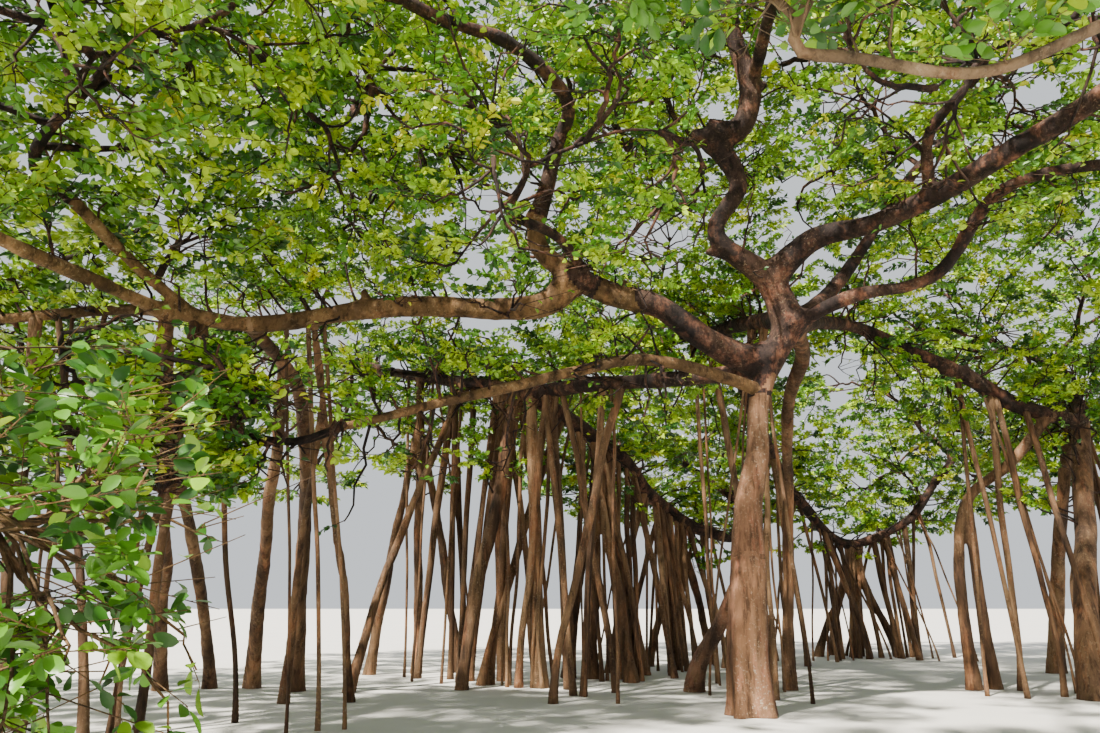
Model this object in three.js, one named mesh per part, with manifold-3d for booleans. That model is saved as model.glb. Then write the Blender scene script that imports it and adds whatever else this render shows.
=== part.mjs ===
// A banyan tree: a fluted trunk, the crooked boughs that spread from its head, the pillar
// roots that carry them, and the crown's masses of leaves. Millimetres, +Z up. The origin
// is the middle of the trunk's flat cut at the ground, and +Y runs away from the viewer.
// Routes and reaches are written in metres and scaled once, by METRE.
import * as THREE from "three";
import { mergeVertices } from "three/addons/utils/BufferGeometryUtils.js";
import Module from "manifold-3d";

const wasm = await Module();
wasm.setup();

// Driving dimensions, in millimetres
const METRE = 1000;
const CLEARANCE = 0.35; // between solids that touch on the living tree
const BURIED = 400; // how far a foot is carried down before the ground plane cuts it flat
const GROUND_SIZE = 90 * METRE;
const LIMB_TOLERANCE = 0.05; // within which a cut limb's needless corners are dropped
const LEAF_TOLERANCE = 4; // the same for foliage

// The limbs: facets round them, and the length of a facet along them
const TRUNK_SIDES = 16;
const TRUNK_STEP = 560;
const BOUGH_SIDES = 6;
const BOUGH_STEP = 1400;
const PILLAR_SIDES = 5;
const PILLAR_STEP = 2300;

// Swellings, as shares of the radius, and the rise of a pillar
const TRUNK_SPREAD = 0.22; // of the trunk at the ground
const PILLAR_SPREAD = 0.3;
const FLARE_HEIGHT = 330; // over which the spread dies away
const TRUNK_RIBS = 0.05;
const RIBS_ABOVE = 0.35; // share of them that runs on up above the foot
const RIB_COUNT = 5;
const COLLAR = 0.35; // of a bough where it leaves its parent
const PILLAR_HEIGHTS = [0, 0.35, 0.7, 1]; // of the points on its line, as shares of its height
const PILLAR_BOW = 1.2; // 1 leans evenly, and more stands upright for longer
const PILLAR_JOINT = 0.82; // share of the first root at which a second one joins it
const PILLAR_JOINT_STEP = 0.04; // and how much higher each further one does

// The foliage: each blade stands for one spray of leaves
const SPRAY_LENGTH = 2200;
const SPRAY_WIDTH = 1400;
const SPRAY_THICKNESS = 60;
const SPRAYS = [
  // place along the twig as a share of its length, and heading from the twig in radians
  { along: 0.42, turn: -1.1 },
  { along: 0.7, turn: 1.0 },
  { along: 0.9, turn: 0 },
];
const SPRAY_SLOPES = [-0.65, 0.2]; // least and most rise of a blade along its length
const SPRAY_ROLL = 0.9; // most turn of a blade about its length, in radians
const SPRAY_SWING = 0.5; // most change of its heading, in radians
const SPRAY_TRIES = 8; // for a place in which the blade is free
const SPRAY_GAP = 60; // least gap between two blades
const TWIG_RADII = [0.075, 0.03];
const STEM_SIDES = 4;
const TWIG_SIDES = 3;
const TWIG_STEPS = 2;
const TWIG_LEAD = 0.3; // how far a twig follows its stem's heading, as a share of its length
const STEM_END_RADIUS = 0.05;
const STEM_FIT = 0.98; // a stem's first radius, as a share of its bough's tip
const STEM_REACH = 0.35; // how far a stem runs past the middle of its space, as a share of its way there
const FIRST_FORK = 0.3; // share of the stem at which the twigs begin
const LAST_FORK = 0.99; // and at which the last one leaves it
const SHELL = 0.35; // twigs end in the outer part of their space, beyond this share of it
const REACH = 0.7; // furthest place of a twig's end, as a share of the space
const CANDIDATES = 8; // tries for each twig's end, of which the one in the widest gap is kept
const SPACE_MARGIN = 0.035; // share of a space kept free along its border with the next one
const LIMB_MARGIN = 60; // least gap between foliage and limbs
const LIMB_PROBE = 160; // spacing of the points at which a limb's surface is tested

const BARK = { color: 0x8a6a50, roughness: 0.9, metalness: 0 };
const ROOT_BARK = { color: 0x9b8468, roughness: 0.92, metalness: 0 };
const LEAF = { color: 0x5f8f2a, roughness: 0.55, metalness: 0 };

const vector = ([x, y, z]) => new THREE.Vector3(x, y, z).multiplyScalar(METRE);
const inMetres = (point) => point.clone().divideScalar(METRE).toArray();
const clamp = (x) => Math.min(1, Math.max(0, x));

// Park and Miller's generator, so that one seed always grows the same foliage.
const FIRST_SEED = 1000;
const SEED_STEP = 37; // from one mass to the next
const BLADE_SEED = 7; // from a mass's own to that of its blades
function seeded(seed) {
  const multiplier = 48271;
  const modulus = 2147483647;
  let state = seed;
  return () => {
    state = (state * multiplier) % modulus;
    return state / modulus;
  };
}

// The closed mesh of a geometry as a solid.
function solidOf(geometry) {
  const bare = geometry.clone();
  bare.deleteAttribute("normal");
  bare.deleteAttribute("uv");
  const merged = mergeVertices(bare, 1e-3);
  return new wasm.Manifold(
    new wasm.Mesh({
      numProp: 3,
      vertProperties: merged.attributes.position.array,
      triVerts: new Uint32Array(merged.index.array),
    }),
  );
}

function geometryOf(solid) {
  const mesh = solid.getMesh();
  const position = new Float32Array(mesh.numVert * 3);
  for (let i = 0; i < mesh.numVert; i++) {
    const at = i * mesh.numProp;
    position.set(mesh.vertProperties.subarray(at, at + 3), i * 3);
  }
  const geometry = new THREE.BufferGeometry();
  geometry.setAttribute("position", new THREE.BufferAttribute(position, 3));
  geometry.setIndex(new THREE.BufferAttribute(mesh.triVerts, 1));
  geometry.computeVertexNormals();
  return geometry;
}

const largestOf = (solid) =>
  solid.decompose().reduce((a, b) => (a.volume() > b.volume() ? a : b));

const ground = solidOf(
  new THREE.BoxGeometry(GROUND_SIZE, GROUND_SIZE, 2 * BURIED).translate(0, 0, -BURIED),
);

// Limbs

const trunk = {
  name: "trunk",
  via: [[0, 0, 0], [0.09, 0, 1.9], [0.32, 0, 3.6], [0.45, 0, 4.8], [0.75, 0, 5.45], [1.03, 0, 5.95]],
  radii: [0.36, 0.34, 0.3, 0.24, 0.19, 0.17, 0.27],
  foot: TRUNK_SPREAD,
  ribs: TRUNK_RIBS,
};

// A bough leaves its parent's middle line at a share of the parent's length, passes its
// bends, and ends where its mass of leaves begins. The radii are at even shares of it.
const boughs = [
  {
    name: "bough_up_lower",
    from: ["trunk", 0.99],
    via: [[0.69, -0.1, 6.54], [-0.27, -0.4, 7.24], [0.17, -0.5, 8.19], [-0.31, -0.7, 8.95]],
    radii: [0.27, 0.23, 0.19, 0.17, 0.17, 0.22],
  },
  {
    name: "bough_up_upper",
    from: ["bough_up_lower", 1],
    via: [[0.17, -0.8, 9], [0.41, -0.9, 9.55], [0.1, -1.1, 10.7]],
    radii: [0.22, 0.2, 0.15],
  },
  {
    name: "bough_right_upper",
    from: ["bough_up_lower", 0.2],
    via: [[1.3, -0.6, 7.1], [2.1, -1.3, 7.1], [3.5, -3.6, 7.4], [5.6, -6.2, 7.7]],
    radii: [0.23, 0.18, 0.17, 0.15, 0.12],
  },
  {
    name: "bough_right_lower",
    from: ["trunk", 0.99],
    via: [[1.8, -0.6, 6.14], [2.86, -1.2, 6.28], [3.71, -2, 7.3], [6.4, -3, 7.3]],
    radii: [0.16, 0.12, 0.11, 0.1, 0.09],
  },
  {
    name: "bough_left_lower",
    from: ["trunk", 0.89],
    via: [[0.15, 0, 5.37], [-1.31, -0.4, 6.09], [-2.11, -0.6, 6.24], [-3.05, -0.9, 6.86], [-3.11, -1, 7.25]],
    radii: [0.27, 0.23, 0.22, 0.22, 0.16],
  },
  {
    name: "bough_left_upper",
    from: ["bough_left_lower", 1],
    via: [[-2.74, -1.3, 8.4], [-2.61, -1.5, 8.97], [-3.48, -2.3, 9.46], [-4.3, -2.6, 9.6]],
    radii: [0.16, 0.13, 0.13, 0.1],
  },
  {
    name: "bough_left_slender",
    from: ["trunk", 0.8],
    via: [[-0.1, -0.15, 4.95], [-1.54, -0.8, 5.08], [-2.61, -1.3, 4.75], [-5.4, -3, 3.6]],
    radii: [0.12, 0.095, 0.085, 0.075, 0.055],
  },
  {
    name: "bough_left_long",
    from: ["bough_left_lower", 0.76],
    via: [[-2.95, -0.7, 6.02], [-5.6, -1.1, 5.8], [-7.3, -1.6, 5.38], [-8.3, -2, 5.42], [-10.2, -2.6, 5.1]],
    radii: [0.24, 0.19, 0.17, 0.14, 0.1, 0.08],
  },
  {
    name: "bough_left_rising",
    from: ["bough_left_long", 0.7],
    via: [[-8.35, -2.2, 5.85], [-9.1, -3, 6.6]],
    radii: [0.11, 0.09],
  },
  {
    name: "bough_top_right",
    from: ["trunk", 0.99],
    via: [[1.9, 0.7, 6.7], [3.4, 1.1, 8.6]],
    radii: [0.19, 0.14, 0.11],
  },
  {
    name: "bough_back",
    from: ["trunk", 0.99],
    via: [[1.15, 2.2, 6.7], [0.1, 5.9, 7.5]],
    radii: [0.24, 0.17, 0.13],
  },
  {
    name: "bough_back_left",
    from: ["trunk", 0.86],
    via: [[-0.92, 1.6, 5.35], [-1.93, 2.6, 5.6], [-3.3, 4, 5.75], [-4.8, 5.4, 6.3], [-6.6, 6.3, 6.8]],
    radii: [0.16, 0.16, 0.17, 0.17, 0.16, 0.12],
  },
  {
    name: "bough_sweep_left",
    from: ["bough_back_left", 0.58],
    via: [[-1.2, 6.4, 4.75], [0, 8.1, 3.75], [2.1, 10.2, 3.2], [2.9, 11.6, 4], [2.2, 12.6, 4.9]],
    radii: [0.2, 0.19, 0.17, 0.17, 0.12],
  },
  {
    name: "bough_sweep_right",
    from: ["bough_back", 0.67],
    via: [[3.9, 10.6, 4.5], [5.9, 12.4, 3.2], [7.8, 12.5, 3.9], [8.7, 12.4, 5]],
    radii: [0.17, 0.16, 0.17, 0.13],
  },
  {
    name: "bough_back_right",
    from: ["trunk", 0.99],
    via: [[2.9, 2.2, 6.6], [5.6, 3, 5.6], [7.3, 3.1, 4.95], [8.9, 5.5, 6.3]],
    radii: [0.17, 0.14, 0.17, 0.17, 0.13],
  },
  {
    name: "bough_inner_left",
    from: ["bough_left_lower", 0.68],
    via: [[-2.75, -1.5, 6.7], [-3.3, -2.1, 6.75]],
    radii: [0.11, 0.08],
  },
  {
    name: "bough_inner_right",
    from: ["bough_right_upper", 0.35],
    via: [[2.45, -2.4, 7.9], [2.75, -3, 8.3]],
    radii: [0.11, 0.08],
  },
  {
    name: "bough_front_left",
    from: ["bough_left_long", 0.74],
    via: [[-9.4, -5, 5.6], [-10.4, -7.6, 6.1]],
    radii: [0.12, 0.1, 0.08],
  },
  {
    name: "bough_front_low",
    from: ["bough_front_left", 0.76],
    via: [[-9, -8.4, 4.8], [-7.4, -9.4, 3.4], [-6.3, -9.8, 2.7]],
    radii: [0.08, 0.055, 0.035],
  },
  {
    name: "bough_front",
    from: ["bough_up_upper", 0.55],
    via: [[0.2, -4, 10.3], [-1.7, -8.3, 9.3]],
    radii: [0.13, 0.1, 0.08],
  },
  {
    name: "bough_pale",
    from: ["bough_right_upper", 0.76],
    via: [[3.6, -7.2, 6.4], [0.3, -9, 4.7], [-0.6, -9, 4.33], [-1.25, -9, 4.42]],
    radii: [0.07, 0.045, 0.04, 0.036],
  },
];

// A pillar root stands on the ground at its first foot and rises to a share of its bough,
// straight up at first unless it has bends of its own. Roots from any further feet lean in
// and grow together with it lower down.
const pillars = [
  { name: "trunk_leg", feet: [[-0.29, 3.3]], to: ["trunk", 0.41], radii: [0.19, 0.15, 0.13] },
  {
    name: "pillar_second",
    feet: [[1.55, 3.6]],
    via: [[1.62, 3.6, 1.6], [1.8, 3.55, 3.8], [1.57, 2.6, 5], [1.6, 1.3, 5.75]],
    to: ["trunk", 0.99],
    radii: [0.14, 0.14, 0.13, 0.14, 0.16, 0.16],
  },
  {
    name: "pillar_middle_a",
    feet: [[-4.52, 3.6]],
    to: ["bough_back_left", 0.61],
    radii: [0.12, 0.14, 0.17, 0.19],
  },
  { name: "pillar_middle_b", feet: [[-3.06, 4]], to: ["bough_back_left", 0.57], radii: [0.16, 0.17] },
  { name: "pillar_middle_c", feet: [[-3.85, 5.4]], to: ["bough_back_left", 0.68], radii: [0.16, 0.14] },
  {
    name: "pillar_middle_group",
    feet: [[-2, 5.9], [-2.5, 6.2], [-1.25, 5.1], [-0.8, 6.9]],
    to: ["bough_sweep_left", 0.19],
    radii: [0.17, 0.14, 0.13],
  },
  {
    name: "pillar_left_pair",
    feet: [[-7.56, 3.4], [-8.5, 3.97]],
    via: [[-7.42, 2.8, 1.8], [-7.28, 2, 3.7], [-7.1, 0.8, 4.95]],
    to: ["bough_left_long", 0.61],
    radii: [0.18, 0.14, 0.14],
  },
  {
    name: "pillar_left_forked",
    feet: [[-6.15, 1.7], [-7.17, 1.5]],
    to: ["bough_left_long", 0.5],
    radii: [0.1, 0.08, 0.07],
  },
  { name: "pillar_left_c", feet: [[-6.5, 3.2]], to: ["bough_back_left", 0.79], radii: [0.13, 0.1] },
  {
    name: "pillar_far_left",
    feet: [[-10.05, 3.5], [-9.3, 3.9]],
    to: ["bough_left_long", 0.74],
    radii: [0.15, 0.13, 0.12],
  },
  { name: "pillar_slanting", feet: [[-8.35, -2.3]], to: ["bough_left_long", 0.9], radii: [0.07, 0.05] },
  {
    name: "pillar_back_left_group",
    feet: [[-5.9, 7.2], [-5, 7.5], [-6.9, 6.9]],
    to: ["bough_back_left", 0.92],
    radii: [0.13, 0.11],
  },
  {
    name: "pillar_back_group",
    feet: [[0.4, 9.5], [-0.4, 9.3], [1.3, 10]],
    to: ["bough_sweep_left", 0.52],
    radii: [0.13, 0.12, 0.14],
  },
  {
    name: "pillar_far_group",
    feet: [[6.1, 13.1], [5, 13.1], [5.6, 13.8], [7.3, 13]],
    to: ["bough_sweep_right", 0.76],
    radii: [0.15, 0.14, 0.16],
  },
  {
    name: "pillar_right_double",
    feet: [[4.95, 3.6], [5.4, 3.75]],
    via: [[4.98, 3.6, 2.2], [5.3, 3.55, 3.55], [6.1, 3.25, 4.2]],
    to: ["bough_back_right", 0.66],
    joint: 0.62,
    radii: [0.15, 0.13, 0.13],
  },
  {
    name: "pillar_right_edge",
    feet: [[6.15, 2], [7.3, 3.9]],
    to: ["bough_back_right", 0.74],
    radii: [0.25, 0.21, 0.2],
  },
  {
    name: "pillar_back_right",
    feet: [[8.6, 7.3]],
    to: ["bough_back_right", 0.91],
    radii: [0.21, 0.18, 0.14],
  },
  {
    name: "pillar_front_right",
    feet: [[6.1, -6.6], [5.1, -6.9]],
    to: ["bough_right_upper", 0.9],
    radii: [0.16, 0.13, 0.11],
  },
  {
    name: "pillar_front_left",
    feet: [[-10.9, -7.4], [-9.7, -7.3]],
    to: ["bough_front_left", 0.71],
    radii: [0.14, 0.11, 0.1],
  },
];

// A root from foot up to top, as points: it stands almost upright and leans in as it rises.
function rise(foot, top) {
  return PILLAR_HEIGHTS.map((height) => {
    const lean = height ** PILLAR_BOW;
    return [
      THREE.MathUtils.lerp(foot[0], top[0], lean),
      THREE.MathUtils.lerp(foot[1], top[1], lean),
      height * top[2],
    ];
  });
}

const limbs = [];
const limbNamed = (name) => limbs.find((limb) => limb.name === name);
const pointOn = ([name, share]) => inMetres(limbNamed(name).line.getPointAt(share));

// The smooth line that a limb follows. A foot is carried straight down below the ground.
function lineThrough(points, hasFoot) {
  const route = points.map(vector);
  if (hasFoot) route.unshift(route[0].clone().setZ(-BURIED));
  return new THREE.CatmullRomCurve3(route);
}

// Every limb with its line, in the order in which they keep their shape: a later one is
// cut clear of those before it.
limbs.push({ ...trunk, line: lineThrough(trunk.via, true), sides: TRUNK_SIDES, step: TRUNK_STEP });
for (const bough of boughs) {
  const line = lineThrough([pointOn(bough.from), ...bough.via], false);
  limbs.push({ ...bough, line, sides: BOUGH_SIDES, step: BOUGH_STEP });
}
for (const pillar of pillars) {
  const [first, ...others] = pillar.feet;
  const shape = { ...pillar, foot: PILLAR_SPREAD, sides: PILLAR_SIDES, step: PILLAR_STEP };
  const top = pointOn(pillar.to);
  const main = lineThrough(pillar.via ? [[...first, 0], ...pillar.via, top] : rise(first, top), true);
  limbs.push({ ...shape, line: main });
  others.forEach((foot, i) => {
    const share = (pillar.joint ?? PILLAR_JOINT) + i * PILLAR_JOINT_STEP;
    const joint = inMetres(main.getPointAt(share));
    limbs.push({ ...shape, line: lineThrough(rise(foot, joint), true) });
  });
}

// The radius at share u of a limb's length, from radii given at even shares.
function radiusAt(radii, u) {
  const place = clamp(u) * (radii.length - 1);
  const i = Math.min(Math.floor(place), radii.length - 2);
  return THREE.MathUtils.lerp(radii[i], radii[i + 1], place - i) * METRE;
}

// A foot spreads towards the ground, and the trunk's has ribs that run up it.
function spread(limb, height, angle) {
  if (!limb.foot) return 1;
  const fade = Math.exp(-Math.max(0, height) / FLARE_HEIGHT);
  const ribs = (limb.ribs ?? 0) * Math.cos(RIB_COUNT * angle);
  return 1 + limb.foot * fade + ribs * (RIBS_ABOVE + fade);
}

// A cylinder bent along the limb's line, tapering as it goes. grow adds to its size on
// every side, for the cut that keeps its neighbours clear.
function limbGeometry(limb, grow = 0) {
  const length = limb.line.getLength();
  const steps = Math.max(2, Math.round(length / limb.step));
  const frames = limb.line.computeFrenetFrames(steps);
  const geometry = new THREE.CylinderGeometry(1, 1, 1, limb.sides, steps);
  const position = geometry.attributes.position;
  const flat = Math.cos(Math.PI / limb.sides); // a facet's middle lies this much nearer in
  for (let i = 0; i < position.count; i++) {
    const [x, y, z] = [position.getX(i), position.getY(i), position.getZ(i)];
    const ring = Math.round((y + 0.5) * steps);
    const u = ring / steps;
    const centre = limb.line.getPointAt(u);
    const swelling = limb.foot ? 0 : (limb.collar ?? COLLAR);
    const collar = swelling * Math.exp((-u * length) / (limb.radii[0] * METRE));
    const shape = (1 + collar) * spread(limb, centre.z, Math.atan2(z, x));
    const radius = radiusAt(limb.radii, u) * shape + grow / flat;
    const end = ring === 0 ? -grow : ring === steps ? grow : 0;
    centre.addScaledVector(frames.normals[ring], x * radius);
    centre.addScaledVector(frames.binormals[ring], -z * radius);
    centre.addScaledVector(frames.tangents[ring], end);
    position.setXYZ(i, centre.x, centre.y, centre.z);
  }
  return geometry;
}

// The solids of the limbs, each cut clear of those before it and flat at the ground.
function limbSolids() {
  const made = new Map();
  const taken = [];
  for (const name of new Set(limbs.map((limb) => limb.name))) {
    const shapes = limbs.filter((limb) => limb.name === name);
    const whole = wasm.Manifold.union(shapes.map((limb) => solidOf(limbGeometry(limb))));
    const cut = taken.reduce((solid, other) => solid.subtract(other), whole.subtract(ground));
    made.set(name, largestOf(cut).simplify(LIMB_TOLERANCE));
    taken.push(...shapes.map((limb) => solidOf(limbGeometry(limb, CLEARANCE))));
  }
  return made;
}

// Foliage

// Each mass has its own space, an ellipsoid given by its middle and half-sizes in metres,
// less what lies nearer to its neighbours. It grows from the tip of one bough.
const masses = [
  {
    name: "leaves_top", bough: "bough_up_upper", twigs: 7,
    middle: [-0.6, 1.2, 11.3], half: [4.5, 4.6, 3.3],
  },
  {
    name: "leaves_top_left", bough: "bough_left_upper", twigs: 7,
    middle: [-6.4, 0.6, 10.3], half: [3.9, 4.6, 3.2],
  },
  {
    name: "leaves_top_right", bough: "bough_top_right", twigs: 7,
    middle: [5.2, 1.4, 10.6], half: [4, 4.6, 3.2],
  },
  {
    name: "leaves_upper_left", bough: "bough_left_rising", twigs: 7,
    middle: [-8.3, -4, 7.9], half: [4, 3.5, 2.6],
  },
  {
    name: "leaves_left", bough: "bough_left_long", twigs: 6,
    middle: [-13.4, -0.6, 6.6], half: [4.4, 5.8, 3.8],
  },
  {
    name: "leaves_inner_left", bough: "bough_inner_left", twigs: 6, small: 0.6,
    middle: [-3.2, -2.8, 7.1], half: [3.1, 2.9, 2.2],
  },
  {
    name: "leaves_inner_right", bough: "bough_inner_right", twigs: 6, small: 0.6,
    middle: [2.7, -3.6, 8.3], half: [3, 3, 2.3],
  },
  {
    name: "leaves_left_low", bough: "bough_left_slender", twigs: 5, small: 0.55,
    middle: [-6.9, -4.1, 3.5], half: [2.1, 1.7, 1.1],
  },
  {
    name: "leaves_near_left", bough: "bough_front_low", twigs: 5, small: 0.4,
    middle: [-5.1, -10, 2.05], half: [1.5, 1.1, 1.3],
  },
  {
    name: "leaves_near_right", bough: "bough_pale", twigs: 5, small: 0.5,
    middle: [-1.1, -9.1, 5.4], half: [2.1, 1.5, 1.3],
  },
  {
    name: "leaves_back", bough: "bough_back", twigs: 7,
    middle: [0, 8.2, 8.5], half: [5, 4.6, 4.2],
  },
  {
    name: "leaves_back_left", bough: "bough_back_left", twigs: 6,
    middle: [-9.3, 8, 7.6], half: [5.2, 5, 4.1],
  },
  {
    name: "leaves_back_right", bough: "bough_back_right", twigs: 6,
    middle: [9, 8, 7.9], half: [4.9, 4.8, 4.2],
  },
  {
    name: "leaves_far", bough: "bough_sweep_left", twigs: 7,
    middle: [0, 14.2, 7.2], half: [5.2, 3.9, 3.9],
  },
  {
    name: "leaves_far_right", bough: "bough_sweep_right", twigs: 6,
    middle: [9.2, 14, 6.9], half: [5, 3.9, 3.7],
  },
  {
    name: "leaves_right", bough: "bough_right_lower", twigs: 6,
    middle: [10.8, -0.8, 7.8], half: [4.9, 5, 3.9],
  },
  {
    name: "leaves_front_right", bough: "bough_right_upper", twigs: 6,
    middle: [7.6, -8.6, 8.1], half: [5.2, 4.9, 3.6],
  },
  {
    name: "leaves_front_left", bough: "bough_front_left", twigs: 6,
    middle: [-11.4, -10, 7.2], half: [4.8, 4.9, 3.6],
  },
  {
    name: "leaves_front", bough: "bough_front", twigs: 6,
    middle: [-2.4, -11, 9.3], half: [4.8, 4.3, 3.2],
  },
].map((mass, i) => ({
  ...mass,
  middle: vector(mass.middle),
  half: vector(mass.half),
  seed: FIRST_SEED + SEED_STEP * i,
}));

// How far out a point lies in a mass's space: 0 in the middle and 1 on the border.
function depthIn(mass, point) {
  return point.clone().sub(mass.middle).divide(mass.half).length();
}

function belongs(mass, point) {
  const own = depthIn(mass, point);
  const nearest = masses.every((other) => other === mass || depthIn(other, point) > own + SPACE_MARGIN);
  return own < 1 && nearest && point.z > SPRAY_THICKNESS;
}

const probes = limbs.flatMap((limb) => {
  const count = Math.ceil(limb.line.getLength() / LIMB_PROBE);
  return limb.line.getSpacedPoints(count).map((point, i) => ({
    name: limb.name,
    point,
    radius: radiusAt(limb.radii, i / count) * (1 + COLLAR * (i < 3)),
  }));
});

const touchesLimb = (point, radius, spared) =>
  probes.some(
    (probe) => probe.name !== spared && probe.point.distanceTo(point) < probe.radius + radius + LIMB_MARGIN,
  );

const isFree = (mass, point, radius) => belongs(mass, point) && !touchesLimb(point, radius, mass.bough);

// A place for a twig's end: seeded tries in the outer part of the space.
function place(mass, random) {
  for (;;) {
    const share = new THREE.Vector3(2 * random() - 1, 2 * random() - 1, 2 * random() - 1);
    const depth = share.length();
    const point = share.multiply(mass.half).add(mass.middle);
    if (depth > SHELL && depth < REACH && belongs(mass, point)) return point;
  }
}

// The ends of a mass's twigs: each of several tries that lies furthest from those before it.
function twigEnds(mass) {
  const random = seeded(mass.seed);
  const ends = [];
  for (let i = 0; i < mass.twigs; i++) {
    let best = null;
    let widest = -1;
    for (let k = 0; k < CANDIDATES; k++) {
      const point = place(mass, random);
      const gap = Math.min(Infinity, ...ends.map((end) => end.distanceTo(point)));
      if (gap > widest) [best, widest] = [point, gap];
    }
    ends.push(best);
  }
  return ends;
}

// The stem carries the bough on through the middle of the space.
function stemOf(mass) {
  const bough = limbNamed(mass.bough);
  const tip = bough.line.getPointAt(1);
  const way = mass.middle.clone().sub(tip);
  const lead = tip.clone().addScaledVector(bough.line.getTangentAt(1), way.length() / 3);
  const end = mass.middle.clone().addScaledVector(way, STEM_REACH);
  return {
    line: new THREE.CatmullRomCurve3([tip, lead, mass.middle, end]),
    radii: [bough.radii.at(-1) * STEM_FIT, STEM_END_RADIUS],
    sides: STEM_SIDES,
    step: BOUGH_STEP,
    collar: 0,
  };
}

// The twigs leave the stem one after another, those for the nearest ends first.
function twigsOf(mass, stem) {
  const { line } = stem;
  const [start, finish] = [line.getPointAt(0), line.getPointAt(1)];
  const way = finish.clone().sub(start);
  const progress = (end) => end.clone().sub(start).dot(way);
  const ends = twigEnds(mass).sort((a, b) => progress(a) - progress(b));
  return ends.map((end, i) => {
    const share = THREE.MathUtils.lerp(FIRST_FORK, LAST_FORK, i / (ends.length - 1));
    const root = line.getPointAt(share);
    const bend = root.clone().lerp(end, 0.5);
    bend.addScaledVector(line.getTangentAt(share), (TWIG_LEAD * root.distanceTo(end)) / 2);
    return {
      line: new THREE.CatmullRomCurve3([root, bend, end]),
      radii: TWIG_RADII.map((radius) => radius * (mass.small ?? 1)),
      sides: TWIG_SIDES,
      step: root.distanceTo(end) / TWIG_STEPS,
      collar: 0,
    };
  });
}

// The part of a twig's line that is past the stem is tested all along.
function twigIsFree(mass, twig) {
  const count = Math.ceil(twig.line.getLength() / LIMB_PROBE);
  return twig.line
    .getSpacedPoints(count)
    .slice(2)
    .every((point) => isFree(mass, point, TWIG_RADII[0] * METRE));
}

// One try at a blade: most of them droop, and they are rolled so that the mass shows
// leaves from every side.
function bladeAt(mass, twig, spray, random) {
  const along = twig.line.getTangentAt(spray.along);
  const fan = Math.atan2(along.y, along.x) + spray.turn + SPRAY_SWING * (2 * random() - 1);
  const slope = THREE.MathUtils.lerp(...SPRAY_SLOPES, random());
  const lift = clamp(along.z) * Math.cos(spray.turn) + slope;
  const direction = new THREE.Vector3(Math.cos(fan), Math.sin(fan), lift).normalize();
  const roll = SPRAY_ROLL * (2 * random() - 1);
  return bladeGeometry(twig.line.getPointAt(spray.along), direction, roll, mass.small ?? 1);
}

// A blade is a flattened octahedron of eight faces, its first corner sunk in the twig.
function bladeGeometry(root, direction, roll, size) {
  const [length, width, thickness] = [SPRAY_LENGTH, SPRAY_WIDTH, SPRAY_THICKNESS].map((x) => x * size);
  const across = new THREE.Vector3(-direction.y, direction.x, 0).normalize();
  const normal = new THREE.Vector3().crossVectors(direction, across);
  return new THREE.OctahedronGeometry(1)
    .scale(length / 2, width / 2, thickness / 2)
    .rotateX(roll)
    .translate(length / 2, 0, 0)
    .applyMatrix4(new THREE.Matrix4().makeBasis(direction, across, normal))
    .translate(root.x, root.y, root.z);
}

// True where a blade's outline keeps to the space and clear of the limbs.
function bladeIsFree(mass, geometry) {
  const position = geometry.attributes.position;
  const corners = Array.from({ length: position.count }, (_, i) =>
    new THREE.Vector3().fromBufferAttribute(position, i),
  );
  const middle = new THREE.Box3().setFromPoints(corners).getCenter(new THREE.Vector3());
  const tested = corners.flatMap((corner) => [corner, corner.clone().lerp(middle, 0.5)]);
  return [middle, ...tested].every((point) => isFree(mass, point, SPRAY_THICKNESS));
}

// One solid of stem, twigs and blades. A blade that finds no place free of earlier ones, and
// of twigs other than its own, is left out.
function massSolid(mass) {
  const random = seeded(mass.seed + BLADE_SEED);
  const stem = stemOf(mass);
  const twigs = twigsOf(mass, stem).filter((twig) => twigIsFree(mass, twig));
  const twigSolids = twigs.map((twig) => solidOf(limbGeometry(twig)));
  const pieces = [solidOf(limbGeometry(stem)), ...twigSolids];
  twigs.forEach((twig, i) => {
    const isApart = (solid) =>
      pieces.every((piece) => piece === twigSolids[i] || piece.minGap(solid, SPRAY_GAP) >= SPRAY_GAP);
    for (const spray of SPRAYS) {
      for (let k = 0; k < SPRAY_TRIES; k++) {
        const blade = bladeAt(mass, twig, spray, random);
        if (!bladeIsFree(mass, blade) || !isApart(solidOf(blade))) continue;
        pieces.push(solidOf(blade));
        break;
      }
    }
  });
  const whole = wasm.Manifold.union(pieces).simplify(LEAF_TOLERANCE);
  return largestOf(whole.subtract(solidOf(limbGeometry(limbNamed(mass.bough), CLEARANCE))));
}

function meshOf(name, solid, look) {
  const mesh = new THREE.Mesh(geometryOf(solid), new THREE.MeshStandardMaterial(look));
  mesh.name = name;
  return mesh;
}

const tree = new THREE.Group();
tree.name = "banyan_tree";
for (const [name, solid] of limbSolids()) {
  tree.add(meshOf(name, solid, name.startsWith("pillar") ? ROOT_BARK : BARK));
}
for (const mass of masses) tree.add(meshOf(mass.name, massSolid(mass), LEAF));

export default tree;
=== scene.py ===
"""A banyan tree, dressed for a portrait from under its own crown. The trunk, the boughs and
the pillar roots get a skin with the bark's relief, and each mass of leaves grows on from the
solids' twigs by their own rule, down to sprays of leaves. Everything is in metres."""
import itertools
import math

import bmesh
import bpy
import numpy as np
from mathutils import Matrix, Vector
from mathutils.kdtree import KDTree


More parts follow.
